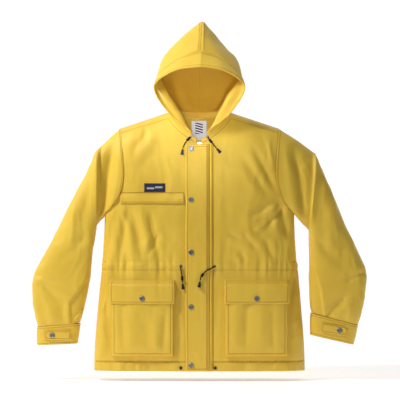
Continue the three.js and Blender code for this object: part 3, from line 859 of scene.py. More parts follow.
def grid_lines(points, rows=(), columns=(), ring_shaped=False, keep=slice(None)):
    """Rows and columns of a grid as lines with normals, for stitching."""
    n = normals(points, ring_shaped)
    lines = []
    for row in rows:
        line, out = points[row][keep], n[row][keep]
        if ring_shaped:
            line, out = np.concatenate([line, line[:1]]), np.concatenate([out, out[:1]])
        lines.append((line, out))
    for column in columns:
        lines.append((points[:, column][keep], n[:, column][keep]))
    return lines


def front_panel(name, side):
    def at(u, v):
        c = u if side > 0 else 1 - u
        p = torso(0.02 + 0.98 * c, v, -1, 0.006, neck_front_z)
        return p * np.array([side, 1, 1])

    points, u, v = grid(at, 84, 184)
    c = u if side > 0 else 1 - u
    points = push(points, front_height(points) * smooth(1 - c, 0, 0.08))
    piece = settle(cloth(name + "_front_cloth", points), [name + "_front_panel"], on_shell)
    side_seam = -2 if side > 0 else 1
    lines = grid_lines(points, columns=[side_seam])
    lines += [front_line([(side * 0.012, HEM_Z + dz), (side * 0.312, HEM_Z + dz)]) for dz in HEM_ROWS]
    for z in (WAIST_Z + CASING_HALF, WAIST_Z - CASING_HALF):
        lines.append(front_line([(side * 0.036, z), (side * 0.290, z)]))
    lines += grid_lines(points, rows=[-3])
    stitches(name + "_front_stitching", lines, on_shell)


def back_panel():
    def at(u, v):
        signed = 1 - 2 * u
        p = torso(np.abs(signed), v, 1, 0.0, neck_back_z)
        return p * np.stack([np.where(signed < 0, -1, 1), 1 + 0 * u, 1 + 0 * u], -1)

    points, u, v = grid(at, 150, 184)
    points = push(points, back_height(points) * smooth(1 - np.abs(1 - 2 * u), 0, 0.08))
    piece = settle(cloth("back_cloth", points), ["back_panel"], on_shell)
    heights = points[:, points.shape[1] // 2, 2]
    wanted = [HEM_Z + dz for dz in HEM_ROWS]
    wanted += [WAIST_Z + CASING_HALF, WAIST_Z - CASING_HALF, YOKE_Z + 0.004, YOKE_Z - 0.003]
    rows = [int(np.argmin(np.abs(heights - z))) for z in wanted]
    lines = grid_lines(points, rows=rows, keep=slice(2, -2))
    lines += grid_lines(points, rows=[-3])
    stitches("back_stitching", lines, on_shell)


def inside_band(name, node_name, bottom, height):
    """Strips sewn inside the torso, on both front panels and the back."""
    parts = [("right", "right_front_cloth", -1, front_height, -0.985, -0.045, 0.30),
             ("left", "left_front_cloth", -1, front_height, 0.045, 0.985, 0.30),
             ("back", "back_cloth", 1, back_height, 0.985, -0.985, 0.66)]
    for part, outer_cloth, facing, height_of, start, end, width in parts:
        def at(u, v):
            z = bottom + height * v
            x = half_width(z) * np.sin((start + (end - start) * u) * math.pi / 2)
            return on_torso(x, z, facing, height_of, -0.0026)[0]

        points, _, _ = grid(at, 150 if part == "back" else 80, 8)
        piece = cloth(f"{name}_{part}", points, materials=[LINING, LINING], thickness=0.0006)
        settle(piece, [node_name], on_shell)


# ---------------------------------------------------------------- sleeves and cuffs
SLEEVE_FOLDS = {
    "right": [
        ((-0.330, -0.150), (-0.345, -0.330), 0.018, -0.0022),
        ((-0.262, -0.075), (-0.302, -0.330), 0.015, -0.0070),
        ((-0.372, -0.250), (-0.395, -0.420), 0.018, 0.0016),
        ((-0.335, -0.350), (-0.420, -0.440), 0.012, -0.0018),
        ((-0.478, -0.498), (-0.400, -0.575), 0.012, -0.0040),
        ((-0.500, -0.468), (-0.420, -0.500), 0.010, -0.0024),
        ((-0.455, -0.560), (-0.438, -0.622), 0.010, 0.0020),
        ((-0.415, -0.560), (-0.410, -0.622), 0.009, -0.0022),
    ],
    "left": [
        ((0.365, -0.160), (0.360, -0.320), 0.016, -0.0018),
        ((0.284, -0.090), (0.316, -0.300), 0.013, -0.0042),
        ((0.395, -0.260), (0.400, -0.430), 0.018, 0.0018),
        ((0.345, -0.360), (0.430, -0.450), 0.012, -0.0020),
        ((0.378, -0.604), (0.445, -0.530), 0.012, -0.0040),
        ((0.500, -0.462), (0.430, -0.500), 0.010, -0.0024),
        ((0.430, -0.340), (0.462, -0.430), 0.014, 0.0018),
        ((0.455, -0.560), (0.448, -0.615), 0.010, 0.0020),
    ],
}
SLEEVE_STEPS = {
    # start, end, reach, height
    "right": [
        ((-0.3385, -0.487), (-0.394, -0.562), 0.016, 0.0050),
        ((-0.390, -0.552), (-0.387, -0.622), 0.014, 0.0042),
        ((-0.384, -0.620), (-0.338, -0.566), 0.012, 0.0030),
    ],
    "left": [
        ((0.346, -0.450), (0.366, -0.530), 0.014, -0.0046),
        ((0.364, -0.520), (0.374, -0.606), 0.014, -0.0046),
        ((0.300, -0.160), (0.330, -0.130), 0.012, 0.0014),
    ],
}
# The fold below the shoulder, where the hanging sleeve lies over its own head.
SHOULDER_STEP = {"right": 0.0085, "left": 0.0060}
TAB_HALF = 0.014                # half the width of the cuff tab
TAB_FACE_Y = -0.0886
TAB_SNAP_INSET = 0.026          # from the tab's tip to its press stud


def sleeve(name):
    spec = SLEEVES[name]
    side = spec["side"]
    points, u, v = grid(lambda u, v: sleeve_surface(spec, u, 1 - v), 124, 200, True)
    v = 1 - v
    x, z = points[..., 0], points[..., 2]
    out = normals(points, True)
    front = smooth(-out[..., 1], -0.15, 0.55)
    back = smooth(out[..., 1], -0.15, 0.55)
    creases = SLEEVE_FOLDS[name]
    behind = [((a[0], a[1] - 0.03), (b[0], b[1] - 0.02), w * 1.1, -d * 0.8) for a, b, w, d in creases]
    height = (folds(x, z, creases) + steps(x, z, SLEEVE_STEPS[name])) * front + folds(x, z, behind) * back
    past = v - SLEEVE_HEAD
    lap = np.tanh(past / 0.006) * np.exp(-np.abs(past) / 0.050)
    height = height + SHOULDER_STEP[name] * lap * front * smooth(v, 0.02, 0.12)
    height = height + drape(points, 11 + side, 0.8) * smooth(v, 0, 0.08)
    wrist = gathers(points, -0.62, 0.05, 0.0024, 51 + side, 0.016)
    height = height + wrist * smooth(v, 0.80, 1.0) - 0.0022 * smooth(v, 0.93, 1.0)
    height = height * smooth(v, 0, 0.05)
    points = push(points, height, True)
    piece = settle(cloth(name + "_sleeve_cloth", points, True), [name + "_sleeve"], sleeve_bend())
    stitches(name + "_armhole_stitching", grid_lines(points, rows=[-3], ring_shaped=True), sleeve_bend())


def cuff(name):
    spec = SLEEVES[name]
    side = spec["side"]
    top = [np.array(spec[edge][-1]) for edge in ("outer", "inner")]
    end = [np.array(p) for p in spec["cuff"]]
    depth = SLEEVE_DEPTHS[-1] - 0.001

    def at(u, v):
        down = (1 - v)[..., None]
        a, b = (t + (e - t) * (0.02 + 0.98 * down) for t, e in zip(top, end))
        return ring(a, b, depth, MID_Y + SLEEVE_FORWARD, side, u)

    points, u, v = grid(at, 110, 22, True)
    height = 0.0012 * np.sin(math.pi * v) + 0.0007 * noise(points, (0.03, 0.03, 0.05), 61)
    for line in (0.10, 0.90):
        height = height - 0.0006 * hill(v - line, 0.03)
    points = push(points, height, True)
    piece = cloth(name + "_cuff_cloth", points, True, thickness=0.0018)
    settle(piece, [name + "_cuff"], on(name + "_sleeve"))
    stitches(name + "_cuff_stitching", grid_lines(points, rows=[2, -3], ring_shaped=True),
             on(name + "_sleeve"))


def cuff_tab(name):
    """A strap along the front of the cuff, with a narrowed tip, and its press stud."""
    sewn, tip = (np.array(p) for p in SLEEVES[name]["tab"])
    length = np.linalg.norm(tip - sewn)
    along = (tip - sewn) / length
    to_right = along[0] > 0
    across = np.array((-along[1], along[0])) * (1 if to_right else -1)
    body = name + "_cuff_tab"

    def at(u, v):
        s = u if to_right else 1 - u
        taper = 1 - 0.62 * ((s * length - length + TAB_HALF) / TAB_HALF).clip(0, 1)
        offset = (2 * v - 1) * TAB_HALF * taper
        xz = sewn + along * (s * length)[..., None] + across * offset[..., None]
        pillow = 0.0011 * (1 - (2 * v - 1) ** 6) * (1 - (2 * s - 1) ** 8)
        lift = 0.0012 * np.sin(math.pi * s) - 0.0006 * hill(s - 0.68, 0.12)
        return np.stack([xz[..., 0], TAB_FACE_Y - pillow - lift, xz[..., 1]], -1)

    points, _, _ = grid(at, 40, 16)
    piece = settle(cloth(name + "_cuff_tab_cloth", points, thickness=0.0016), [body], on(body))
    lines = grid_lines(points, rows=[2, -3], columns=[2, -3], keep=slice(2, -2))
    stitches(name + "_cuff_tab_stitching", lines, on(body))
    centre = tip - along * TAB_SNAP_INSET
    snap_cap(name + "_cuff_snap", name + "_cuff_snap_cap", (centre[0], TAB_FACE_Y - 0.0019, centre[1]),
             (0, -1, 0), body)
    keep_metal(name + "_cuff_snap_stud")


# ---------------------------------------------------------------- metal pieces
def snap_cap(name, node_name, place, toward, body):
    """A press stud's cap: a rolled rim and a shallow dish with a raised ring."""
    r = SNAP_RADIUS
    profile = [(0, 0.0), (r * 0.97, 0.0), (r, 0.0005), (r, 0.0011), (r * 0.96, 0.0018), (r * 0.86, 0.0024),
               (r * 0.74, 0.0025), (r * 0.66, 0.0021), (r * 0.60, 0.0018), (r * 0.50, 0.0018),
               (r * 0.44, 0.0021), (r * 0.36, 0.0022), (r * 0.26, 0.0019), (0, 0.0018)]
    settle(turned(name, profile, place, toward, METAL, 48), [node_name], on(body))


def keep_metal(node_name):
    """A small metal piece shown as the CAD draws it, with softened edges."""
    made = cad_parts[node_name]
    made.data.materials.clear()
    made.data.materials.append(METAL)
    bevel = made.modifiers.new("edges", "BEVEL")
    bevel.width = 0.0003
    bevel.segments = 2


def eyelet(name, x, z):
    place, out = on_front(np.array([x]), np.array([z]), 0.0002)
    profile = [(0.0019, -0.0004), (0.0019, 0.0004), (0.0024, 0.0011), (0.0032, 0.0012), (0.0042, 0.0008),
               (0.0046, 0.0)]
    settle(turned(name + "_ring", profile, place[0], out[0], METAL, 36), [name], on_shell)


# ---------------------------------------------------------------- front closing
FLAP_FREE_X = -0.042
FLAP_HINGE_X = 0.031
FLAP_TOP = -0.081
FLAP_FACE_Y = -0.1022
SNAP_X = -0.025
SNAP_ZS = (-0.095, -0.248, -0.406, -0.570, -0.745)
STUD_PROFILE = [(0.0050, 0), (0.0050, 0.0006), (0.0030, 0.0009), (0.0024, 0.0019), (0.0018, 0.0022),
                (0, 0.0022)]
ZIP_BACK_Y = FRONT_Y + 0.0020
ZIP_START = 0.008               # of the teeth, above the hem
ZIP_TOP = -0.082
TOOTH_PITCH = 0.0028


def storm_flap_surface(x, z):
    """The storm flap's face: it rises from its seam, lies flat and bows a little between the snaps."""
    near_snap = sum(hill(z - s, 0.030) for s in SNAP_ZS)
    bow = 0.0011 * (1 - np.clip(near_snap, 0, 1)) * smooth(-x, -0.010, 0.042)
    root = 0.0044 * smooth(x, FLAP_HINGE_X - 0.010, FLAP_HINGE_X)
    points = np.stack([x, np.full_like(x, FLAP_FACE_Y), z], -1)
    wave = 0.0007 * noise(points, (0.035, 1, 0.055), 71) + 0.0005 * ridges(points, (0.02, 1, 0.03), 72)
    pucker = 0.0010 * hill(z - WAIST_Z, 0.05) * noise(points, (0.03, 1, 0.012), 73)
    hem = 0.0008 * hill(z - HEM_Z, 0.04) * noise(points, (0.012, 1, 0.03), 74)
    roll = -0.0012 * smooth(FLAP_FREE_X + 0.004 - x, 0, 0.004)
    calm = 1 - np.clip(near_snap, 0, 1) * hill(x - SNAP_X, 0.016)
    return points + np.stack([0 * x, root - bow - (wave + pucker + hem) * calm - roll, 0 * x], -1)


def storm_flap():
    def at(u, v):
        x, z = between((FLAP_FREE_X, FLAP_HINGE_X), u), between((HEM_Z, FLAP_TOP), v)
        wobble = 0.0010 * noise(np.stack([0 * z, 0 * z, z], -1), (1, 1, 0.09), 75)
        return storm_flap_surface(x + wobble * (1 - u), z)

    flap = on("storm_flap")
    points, _, _ = grid(at, 24, 190)
    piece = settle(cloth("storm_flap_cloth", points, thickness=0.0018), ["storm_flap"], flap)
    lines = grid_lines(points, columns=[2, -4], keep=slice(2, -2))
    lines += grid_lines(points, rows=[2, -3], keep=slice(2, -2))
    stitches("storm_flap_stitching", lines, flap)
    for k, z in enumerate(SNAP_ZS):
        place = storm_flap_surface(np.array([SNAP_X]), np.array([z]))[0]
        snap_cap(f"front_snap_{k + 1}", f"front_snap_cap_{k + 1}", place, (0, -1, 0), "storm_flap")


def flap_seam():
    """The welt that the storm flap is sewn under, on the wearer's left front panel."""
    def at(u, v):
        x = FLAP_HINGE_X + 0.0008 + 0.0075 * u
        z = HEM_Z + (FLAP_TOP + 0.006 - HEM_Z) * v
        return on_front(x, z, 0.0010 + 0.0030 * np.sin(math.pi * (0.18 + 0.80 * u)) ** 1.5)[0]

    points, _, _ = grid(at, 8, 190)
    piece = settle(cloth("flap_seam_welt", points, thickness=0.0008), [], on_shell)
    line = front_line([(0.0415, HEM_Z + 0.004), (0.0415, FLAP_TOP)], 0.0003, 300)
    stitches("flap_seam_stitching", [line], on_shell)


def zip_parts():
    for name, side in (("right", -1), ("left", 1)):
        def tape(u, v):
            x = side * (0.0008 + 0.019 * (u if side > 0 else 1 - u))
            z = HEM_Z + 0.006 + (-0.070 - HEM_Z - 0.006) * v
            return np.stack([x, ZIP_BACK_Y + 0.0004 * np.sin(z * 90), z], -1)

        points, _, _ = grid(tape, 6, 140)
        piece = cloth(f"zip_tape_{name}_cloth", points, materials=[ZIP_TAPE, ZIP_TAPE], thickness=0.0006)
        settle(piece, [f"zip_tape_{name}"], on_shell)
        teeth(f"zip_teeth_{name}", side)
    keep_metal("zip_slider")
    keep_metal("zip_pull")


def teeth(name, side):
    """A row of moulded zip teeth, each a small block that meets the other side's."""
    corners = []
    faces = []
    xs = sorted((-side * 0.0010, side * 0.0026))
    ys = (ZIP_BACK_Y - 0.0026, ZIP_BACK_Y - 0.0004)
    for k in range(int((ZIP_TOP - HEM_Z - ZIP_START) / TOOTH_PITCH)):
        z = HEM_Z + ZIP_START + TOOTH_PITCH * (k + (0.5 if side > 0 else 0))
        first = len(corners)
        corners += [(x, y, zz) for y in ys for zz in (z - 0.0007, z + 0.0007) for x in xs]
        faces += [tuple(first + i for i in f) for f in
                  ((0, 1, 3, 2), (4, 6, 7, 5), (0, 4, 5, 1), (2, 3, 7, 6), (0, 2, 6, 4), (1, 5, 7, 3))]
    piece = mesh_object(name, corners, faces, [PLASTIC], smooth_shaded=False)
    settle(piece, [], on_shell)


def stud_tape():
    """The strip under the storm flap's free edge, with the press studs that the caps close on."""
    def at(u, v):
        x = SNAP_X - 0.006 + 0.012 * u
        z = HEM_Z + 0.008 + (FLAP_TOP - 0.004 - HEM_Z - 0.008) * v
        return on_front(x, z, 0.0012)[0]

    points, _, _ = grid(at, 6, 120)
    piece = settle(cloth("stud_tape_cloth", points, thickness=0.0008), ["front_stud_tape"], on_shell)
    for k, z in enumerate(SNAP_ZS):
        place, out = on_front(np.array([SNAP_X]), np.array([z]), 0.0013)
        stud = turned(f"front_stud_{k + 1}", STUD_PROFILE, place[0], out[0], METAL, 32)
        settle(stud, [], on_shell)


# ---------------------------------------------------------------- chest flap, badge and pockets
CHEST_FLAP_X = (-0.238, -0.046)
CHEST_FLAP_Z = (-0.259, -0.2295)
CHEST_SEAM_Z = -0.2268
POUCH_X = (-0.215, -0.071)
POUCH_Z = (-0.364, -0.240)
BADGE_X = (-0.166, -0.103)
BADGE_Z = (-0.225, -0.199)


def front_patch(name, node_names, x_range, z_range, proud, attach, materials=None,
                thickness=0.0014, columns=60, rows=16):
    """A sewn-on patch that follows the front: proud(u, v, x, z) is its height above the folded panel."""
    def at(u, v):
        x, z = between(x_range, u), between(z_range, v)
        points, out = on_front(x, z)
        return points + out * proud(u, v, x, z)[..., None]

    points, _, _ = grid(at, columns, rows)
    piece = cloth(name, points, materials=materials, thickness=thickness)
    return settle(piece, node_names, attach), points


def chest_flap():
    attach = bends()

    def proud(u, v, x, z):
        lip = 0.0013 + 0.0022 * smooth(1 - v, 0.05, 0.55)
        return lip + 0.0009 * noise(np.stack([x, 0 * x, z], -1), (0.05, 1, 0.05), 81) * (1 - v)

    piece, points = front_patch("chest_flap_cloth", ["chest_flap"], CHEST_FLAP_X, CHEST_FLAP_Z, proud, attach,
                                columns=72, rows=14)
    lines = grid_lines(points, rows=[2], keep=slice(1, -1))
    lines += grid_lines(points, columns=[2], keep=slice(2, -1))
    stitches("chest_flap_stitching", lines, attach)
    seam = [(CHEST_FLAP_X[0] - 0.002, CHEST_SEAM_Z), (CHEST_FLAP_X[1], CHEST_SEAM_Z)]
    stitches("chest_seam_stitching", [front_line(seam, 0.0006)], on_shell)
    chest_pocket_bag()


def chest_pocket_bag():
    """The lining pouch behind the chest flap, open at its top, hanging inside the front."""
    def at(u, v):
        c, sn = np.cos(2 * math.pi * u), np.sin(2 * math.pi * u)
        x = sum(POUCH_X) / 2 + (POUCH_X[1] - POUCH_X[0]) / 2 * np.sign(c) * np.abs(c) ** 0.35
        z = between(POUCH_Z, v)
        inward = 0.0105 - 0.0035 * np.sign(sn) * np.abs(sn) ** 0.5 * smooth(v, -0.02, 0.08)
        return np.stack([x, MID_Y - half_depth(x, z) + inward, z], -1)

    points, _, _ = grid(at, 72, 30, True)
    piece = cloth("chest_pocket_pouch", points, True, [LINING, LINING], 0.0006)
    settle(piece, ["chest_pocket_bag"], on_shell)


def badge():
    """A navy badge with two plain pale bars, one a little higher."""
    def patch(name, nodes, x_range, z_range, proud, material, thickness, columns, rows):
        return front_patch(name, nodes, x_range, z_range, lambda u, v, x, z: proud + 0 * x, on_shell,
                           [material, material], thickness, columns, rows)[0]

    piece = patch("chest_badge_weave", ["chest_badge"], BADGE_X, BADGE_Z, 0.0014, BADGE, 0.0009, 30, 12)
    for k, (x_range, z) in enumerate((((-0.158, -0.136), -0.2140), ((-0.133, -0.111), -0.2110))):
        patch(f"chest_badge_mark_{k + 1}", [], x_range, (z - 0.0026, z + 0.0026), 0.00165, BADGE_MARK,
              0.0003, 12, 3)


GUSSET = 5                      # grid steps up the side of a pocket
TUCK = 0.0022                   # how far the gusset folds under
POCKET_VALLEYS = {
    "right": [((-0.232, -0.545), (-0.228, -0.700), 0.010, -0.0016),
              ((-0.100, -0.575), (-0.108, -0.705), 0.010, -0.0030),
              ((-0.140, -0.600), (-0.128, -0.712), 0.012, 0.0016),
              ((-0.190, -0.560), (-0.200, -0.690), 0.016, 0.0010)],
    "left": [((0.142, -0.520), (0.138, -0.705), 0.012, -0.0022),
             ((0.215, -0.560), (0.222, -0.700), 0.012, -0.0014),
             ((0.182, -0.560), (0.180, -0.700), 0.018, 0.0014)],
}


def gusset_steps(count, low, high, both):
    """Positions and heights (0 to 1) of a pocket's grid lines; its edge takes the first and last steps."""
    k = np.arange(count + 1)
    height = np.clip(k / GUSSET, 0, 1)
    flat_steps = count - 2 * GUSSET if both else count - GUSSET
    position = low + (high - low) * np.clip((k - GUSSET) / flat_steps, 0, 1)
    position = position + TUCK * np.sin(math.pi * height) * (k < GUSSET)
    if both:
        other = np.clip((count - k) / GUSSET, 0, 1)
        position = position - TUCK * np.sin(math.pi * other) * (k > count - GUSSET)
        height = np.minimum(height, other)
    return position, height


def pocket(name, side):
    """A bellows patch pocket: its face stands off the panel on a folded gusset, and its top is open."""
    near, far = POCKET_X[0] + 0.003, POCKET_X[1] - 0.004
    left, right = (near, far) if side > 0 else (-far, -near)
    xs, hx = gusset_steps(52, left, right, True)
    zs, hz = gusset_steps(62, POCKET_BOTTOM, POCKET_TOP - 0.008, False)
    x, z = np.meshgrid(xs, zs)
    raised = np.minimum(hx[None, :], hz[:, None])
    slack = np.minimum(smooth(np.minimum(x - left, right - x), 0, 0.03), smooth(z - POCKET_BOTTOM, 0, 0.035))
    flat = np.stack([x, 0 * x, z], -1)
    puff = 0.0035 + folds(x, z, POCKET_VALLEYS[name]) + 0.0011 * noise(flat, (0.05, 1, 0.07), 91)
    crumple = 0.0008 * ridges(flat, (0.02, 1, 0.03), 92)
    points, out = on_front(x, z, 0.0006)
    points = points + out * (raised * (POCKET_DEPTH + slack * (puff + crumple)))[..., None]
    piece = cloth(f"{name}_pocket_cloth", points, thickness=0.0009)
    settle(piece, [f"{name}_pocket_bag"], on_shell)
    edge = GUSSET + 2
    lines = grid_lines(points, columns=[edge, -1 - edge], keep=slice(edge, -2))
    lines += grid_lines(points, rows=[edge], keep=slice(edge, -edge))
    stitches(f"{name}_pocket_stitching", lines, on_shell)
    pocket_flap(name, side)


def pocket_flap(name, side):
    body = f"{name}_pocket_flap"
    left, right = POCKET_X if side > 0 else (-POCKET_X[1], -POCKET_X[0])
    bottom, top = POCKET_TOP - FLAP_DROP, POCKET_TOP + 0.003
    middle = (left + right) / 2
    snap_z = bottom + 0.016
    face = POCKET_DEPTH + 0.0066
    attach = bends()

    def proud(u, v, x, z):
        rise = smooth(1 - v, 0.0, 0.24)
        sag = 0.0012 * noise(np.stack([x, 0 * x, z], -1), (0.06, 1, 0.05), 95) * (1 - v)
        snap = -0.0014 * hill(x - middle, 0.020) * hill(z - snap_z, 0.022)
        ends = -0.0035 * (np.abs(2 * u - 1)) ** 5 * (1 - v)
        return 0.0012 + (face - 0.0012) * rise + sag + snap + ends

    piece, points = front_patch(f"{body}_cloth", [body], (left, right), (bottom, top), proud, attach,
                                thickness=0.0016, columns=64, rows=26)
    lines = grid_lines(points, rows=[2], keep=slice(2, -2))
    lines += grid_lines(points, columns=[2, -3], keep=slice(2, -1))
    lines += grid_lines(points, rows=[-2, -4], keep=slice(1, -1))
    stitches(f"{body}_stitching", lines, attach)
    x, z = np.array([middle]), np.array([snap_z])
    base, out = on_front(x, z)
    height = proud((x - left) / (right - left), (z - bottom) / (top - bottom), x, z)[0]
    place = base[0] + out[0] * (height + 0.0001)
    snap_cap(f"{name}_pocket_snap", f"{name}_pocket_snap_cap", place, out[0], body)
    profile = [(0.0050, 0), (0.0050, 0.0006), (0.0028, 0.0012), (0.0020, 0.0021), (0, 0.0021)]
    place = base[0] + out[0] * (POCKET_DEPTH + 0.0025)
    stud = turned(f"{name}_pocket_stud", profile, place, out[0], METAL, 32)
    settle(stud, [f"{name}_pocket_snap_stud"], on_shell)


# ---------------------------------------------------------------- hood and neck
HOOD_EDGE = 0.93                # where the hood panel ends and its edge casing begins
HOOD_FOLDS = [
    ((-0.045, -0.020), (-0.118, 0.075), 0.013, -0.0042),
    ((-0.030, -0.010), (-0.085, 0.120), 0.012, 0.0030),
    ((0.045, -0.010), (0.120, 0.090), 0.013, -0.0045),
    ((0.035, 0.000), (0.092, 0.125), 0.012, 0.0030),
    ((-0.075, 0.180), (-0.015, 0.235), 0.014, -0.0024),
    ((0.030, 0.250), (0.110, 0.190), 0.014, -0.0026),
]
LABEL_X = (-0.0245, 0.0215)
LABEL_Z = (-0.062, -0.008)
SIZE_TAB_X = (-0.011, 0.008)
SIZE_TAB_Z = (-0.082, -0.0605)
LABEL_SLOPE = math.tan(math.radians(10)) * 0.9


def hood_height(points, t, w):
    """Folds of the hood: slack over the crown, drag lines from the throat, ripples at the face edge."""
    soft = 0.0022 * noise(points, (0.09, 0.09, 0.11), 101) + 0.0012 * ridges(points, (0.045, 0.05, 0.06), 102)
    small = 0.0005 * ridges(points, (0.02, 0.02, 0.025), 103)
    creases = folds(points[..., 0], points[..., 2], HOOD_FOLDS)
    seam = -0.0016 * hill((1 - t), 0.012)
    welt = 0.0007 * smooth(t, 0.925, 0.95) * smooth(1 - t, 0.0, 0.02)
    fade = smooth(w, 0.0, 0.06) * smooth(t, 0.0, 0.05)
    inner = smooth(np.abs(1 - t), 0.0, 0.02)
    return ((soft + small) * inner + creases) * fade + seam + welt


def hood_half(name, side):
    def along(u):
        return u if side > 0 else 1 - u

    points, u, v = grid(lambda u, v: hood_surface(side, along(u), v * HOOD_EDGE), 96, 96)
    points = push(points, hood_height(points, along(u), v * HOOD_EDGE))
    piece = settle(cloth(f"hood_{name}_cloth", points), [f"hood_{name}_panel"], hood_bend)
    seam = points.shape[1] - 4 if side > 0 else 3
    lines = grid_lines(points, columns=[seam], keep=slice(2, -1))
    lines += grid_lines(points, rows=[3], keep=slice(3, -1))
    stitches(f"hood_{name}_stitching", lines, hood_bend)


def hood_casing():
    """The channel round the face opening that the hood cord runs in."""
    def at(u, v):
        t = np.where(u < 0.5, 2 * u, 2 - 2 * u)
        w = HOOD_EDGE - 0.004 + (1 - HOOD_EDGE + 0.004) * v
        return np.where((u < 0.5)[..., None], hood_surface(1, t, w), hood_surface(-1, t, w))

    points, u, v = grid(at, 190, 14)
    fullness = 0.0014 * np.sin(math.pi * v)
    ripple = 0.0007 * noise(points, (0.018, 0.018, 0.018), 111)
    points = push(points, fullness + ripple + 0.0006)
    piece = settle(cloth("hood_casing_cloth", points, thickness=0.0030), ["hood_edge_casing"], hood_bend)
    stitches("hood_casing_stitching", grid_lines(points, rows=[2, 12], keep=slice(2, -2)), hood_bend)


def neck_band():
    def at(u, v):
        side = np.where(u < 0.5, 1, -1)
        t = np.where(u < 0.5, 2 * u, 2 - 2 * u)
        points = neck_line(t, -0.002 + 0.0140 * v)
        return points * np.stack([side, 1 + 0 * u, 1 + 0 * u], -1)

    points, u, v = grid(at, 180, 6)
    points = push(points, 0.0008 * np.sin(math.pi * v))
    piece = settle(cloth("neck_band_cloth", points, thickness=0.0016), ["neck_band"], on_shell)
    stitches("neck_band_stitching", grid_lines(points, rows=[3], keep=slice(1, -1)), on_shell)


def neck_label():
    """The woven label hanging inside the back of the neck, its size tab and the hanger loop."""
    def hanging(x_range, z_range, ahead, bow):
        def at(u, v):
            x, z = between(x_range, u), between(z_range, v)
            y = 0.0035 + (-0.009 - z) * LABEL_SLOPE - ahead
            return np.stack([x, y - bow * np.sin(math.pi * u) - 0.0006 * np.sin(z * 160), z], -1)
        return at

    def loop(u, v):
        y = 0.0036 - 0.0075 * np.sin(math.pi * u) ** 0.7
        return np.stack([-0.022 + 0.044 * u, y, -0.003 + 0.006 * v - 0.0015 * np.sin(math.pi * u)], -1)

    points, _, _ = grid(hanging(LABEL_X, LABEL_Z, 0.0012, 0.0016), 20, 22)
    piece = cloth("neck_label_weave", points, materials=[LABEL, LABEL_PLAIN], thickness=0.0008)
    settle(piece, ["neck_label"], on_shell)
    points, _, _ = grid(hanging(SIZE_TAB_X, SIZE_TAB_Z, 0.0004, 0.0006), 8, 10)
    tab = cloth("size_tab_weave", points, materials=[LABEL_PLAIN, LABEL_PLAIN], thickness=0.0006)
    settle(tab, ["size_tab"], on_shell)
    points, _, _ = grid(loop, 30, 4)
    settle(cloth("hanger_loop_tape", points, thickness=0.0012), ["hanger_loop"], on_shell)


# ---------------------------------------------------------------- cords
def tube(name, path, radius, material, sides=12):
    """A round tube along points, with closed ends."""
    path = np.array(path)
    tangents = np.gradient(path, axis=0)
    tangents /= np.linalg.norm(tangents, axis=1, keepdims=True)
    across = np.cross(tangents[0], (0, -1.0, 0))
    corners = []
    for place, along in zip(path, tangents):
        across = across - along * (across @ along)
        across /= np.linalg.norm(across)
        other = np.cross(along, across)
        corners += [place + radius * (c * across + s * other) for c, s in circle(sides)]
    faces = tube_faces(len(path), sides)
    faces.append(tuple(range(sides))[::-1])
    faces.append(tuple(range(len(corners) - sides, len(corners))))
    return mesh_object(name, corners, faces, [material])


def knot(name, place, along, attach):
    """An overhand knot in the cord: one turn of the cord round itself."""
    x, y, z = basis(along)
    t = np.linspace(0, 2 * math.pi, 60)
    reach = 0.0044
    loop = (np.array(place) + np.outer((np.sin(t) + 0.9 * np.sin(2 * t)) * reach, x)
            + np.outer((np.cos(t) - 0.9 * np.cos(2 * t)) * reach * 0.7, z)
            + np.outer(-np.sin(3 * t) * reach * 0.55, y))
    return settle(tube(name, loop, CORD_DIAMETER * 0.5, CORD), [], attach)


def bell(name, node_name, centre, away, attach):
    """A moulded cord end, wider at its mouth."""
    start = np.array(centre) - np.array(away) * 0.009
    profile = [(0, 0), (0.0024, 0), (0.0028, 0.0010), (0.0030, 0.0030), (0.0037, 0.0070), (0.0044, 0.0120),
               (0.0050, 0.0165), (0.0050, 0.0176), (0.0042, 0.0180), (0.0030, 0.0172), (0, 0.0168)]
    return settle(turned(name, profile, start, away, PLASTIC, 32), [node_name], attach)


def free_cord(name, node_names, attach, knot_share):
    path = spline([metres(p) for p in CORDS[name]], np.linspace(0, 1, 60))
    piece = settle(tube(name + "_braid", path, CORD_DIAMETER / 2, CORD), node_names, attach)
    k = int(knot_share * 59)
    knotted = knot(name + "_knot", path[k], path[min(k + 1, 59)] - path[k - 1], attach)
    bell_node, centre = next((n, c) for n, (of, c) in BELLS.items() if of == name)
    away = metres(centre) - path[-1]
    end = bell(bell_node + "_moulded", bell_node, metres(centre), away / np.linalg.norm(away), attach)
    tuple(path[0])


def cords():
    free_cord("hood_cord_right", ["hood_cord_right"], on_shell, 0.30)
    free_cord("hood_cord_left", ["hood_cord_left"], on_shell, 0.40)
    free_cord("waist_cord_right", ["waist_cord_right"], on_shell, 0.80)
    across = bends()
    free_cord("waist_cord_left", ["waist_cord_left_exit", "waist_cord_left"], across, 0.86)
    for name, x, z in (("waist_eyelet_right", -0.056, -0.447), ("waist_eyelet_left", 0.045, -0.448),
                       ("hood_eyelet_right", -0.027, -0.060), ("hood_eyelet_left", 0.025, -0.060)):
        eyelet(name, x, z)
    profile = [(0, 0), (0.0038, 0), (0.0046, 0.0016), (0.0048, 0.0040), (0.0043, 0.0066), (0.0030, 0.0078),
               (0, 0.0080)]
    for name, x in (("right", -0.056), ("left", 0.047)):
        place, out = on_front(np.array([x]), np.array([HEM_CORD_Z]), 0.0)
        stopper = turned(f"hem_stopper_{name}", profile, place[0], out[0], PLASTIC, 32)
        settle(stopper, [f"hem_cord_stopper_{name}"], on_shell)


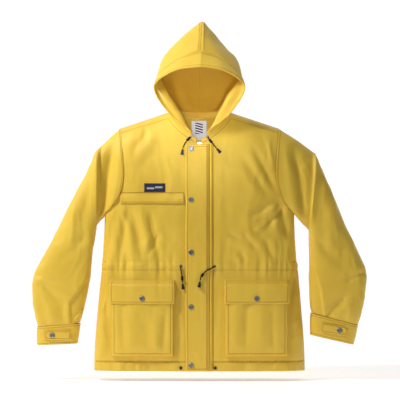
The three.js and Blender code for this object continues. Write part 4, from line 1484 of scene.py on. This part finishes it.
# ---------------------------------------------------------------- light and floor
def stage():
    """A pale studio: bright behind, dimmer in front, with a soft key light from the upper left."""
    bpy.context.scene.view_settings.view_transform = "Standard"
    world = bpy.data.worlds.new("studio")
    bpy.context.scene.world = world
    world.use_nodes = True
    tree = world.node_tree
    sky = tree.nodes["Background"]
    sky.inputs["Color"].default_value = (1, 1, 1, 1)
    direction = node(tree, "ShaderNodeTexCoord")
    split = node(tree, "ShaderNodeSeparateXYZ")
    level = node(tree, "ShaderNodeMapRange")
    level.inputs["From Min"].default_value = -0.35
    level.inputs["From Max"].default_value = 0.75
    level.inputs["To Min"].default_value = 0.17
    level.inputs["To Max"].default_value = 1.06
    link(tree, direction.outputs["Generated"], split.inputs["Vector"],
         split.outputs["Y"], level.inputs["Value"],
         level.outputs["Result"], sky.inputs["Strength"])
    bpy.ops.mesh.primitive_plane_add(size=1, location=(0, -0.15, HEM_Z - 0.030))
    floor = bpy.context.object
    floor.name = "studio_floor"
    floor.scale = (3.4, 1.5, 1)
    material, _, shader = new_material("studio_floor", (0.92, 0.90, 0.92), 0.9)
    shader.inputs["Emission Color"].default_value = (1, 1, 1, 1)
    shader.inputs["Emission Strength"].default_value = 0.42
    floor.data.materials.append(material)
    area_light("key", (-1.20, -0.80, 0.90), 0.30, 27, (1.0, 0.985, 0.95))
    area_light("fill", (-0.05, -1.4, -0.08), 0.20, 0.19, (0.98, 0.98, 1.0), (0.0, 0.0, 0.00), 22)


def area_light(name, place, size, power, color, target=(0.0, -0.05, -0.25), spread=180):
    data = bpy.data.lights.new(name, "AREA")
    data.size = size
    data.energy = power
    data.color = color
    data.spread = math.radians(spread)
    light = bpy.data.objects.new(name, data)
    light.location = place
    aim = np.array(target) - np.array(place)
    x, y, z = basis(-aim)
    light.rotation_euler = matrix_from(x, y, z).to_euler()
    bpy.context.scene.collection.objects.link(light)


def matrix_from(x, y, z):
    return Matrix([[x[k], y[k], z[k]] for k in range(3)])


make_camera()
stage()
cords()
front_panel("right", -1)
front_panel("left", 1)
back_panel()
inside_band("waist_casing_tape", "waist_casing", WAIST_Z - CASING_HALF, 2 * CASING_HALF)
inside_band("hem_facing_tape", "hem_facing", HEM_Z + 0.001, HEM_FACING)
for which in SLEEVES:
    sleeve(which)
    cuff(which)
    cuff_tab(which)
storm_flap()
flap_seam()
zip_parts()
stud_tape()
chest_flap()
badge()
pocket("right", -1)
pocket("left", 1)
neck_band()
neck_label()
hood_half("right", -1)
hood_half("left", 1)
hood_casing()
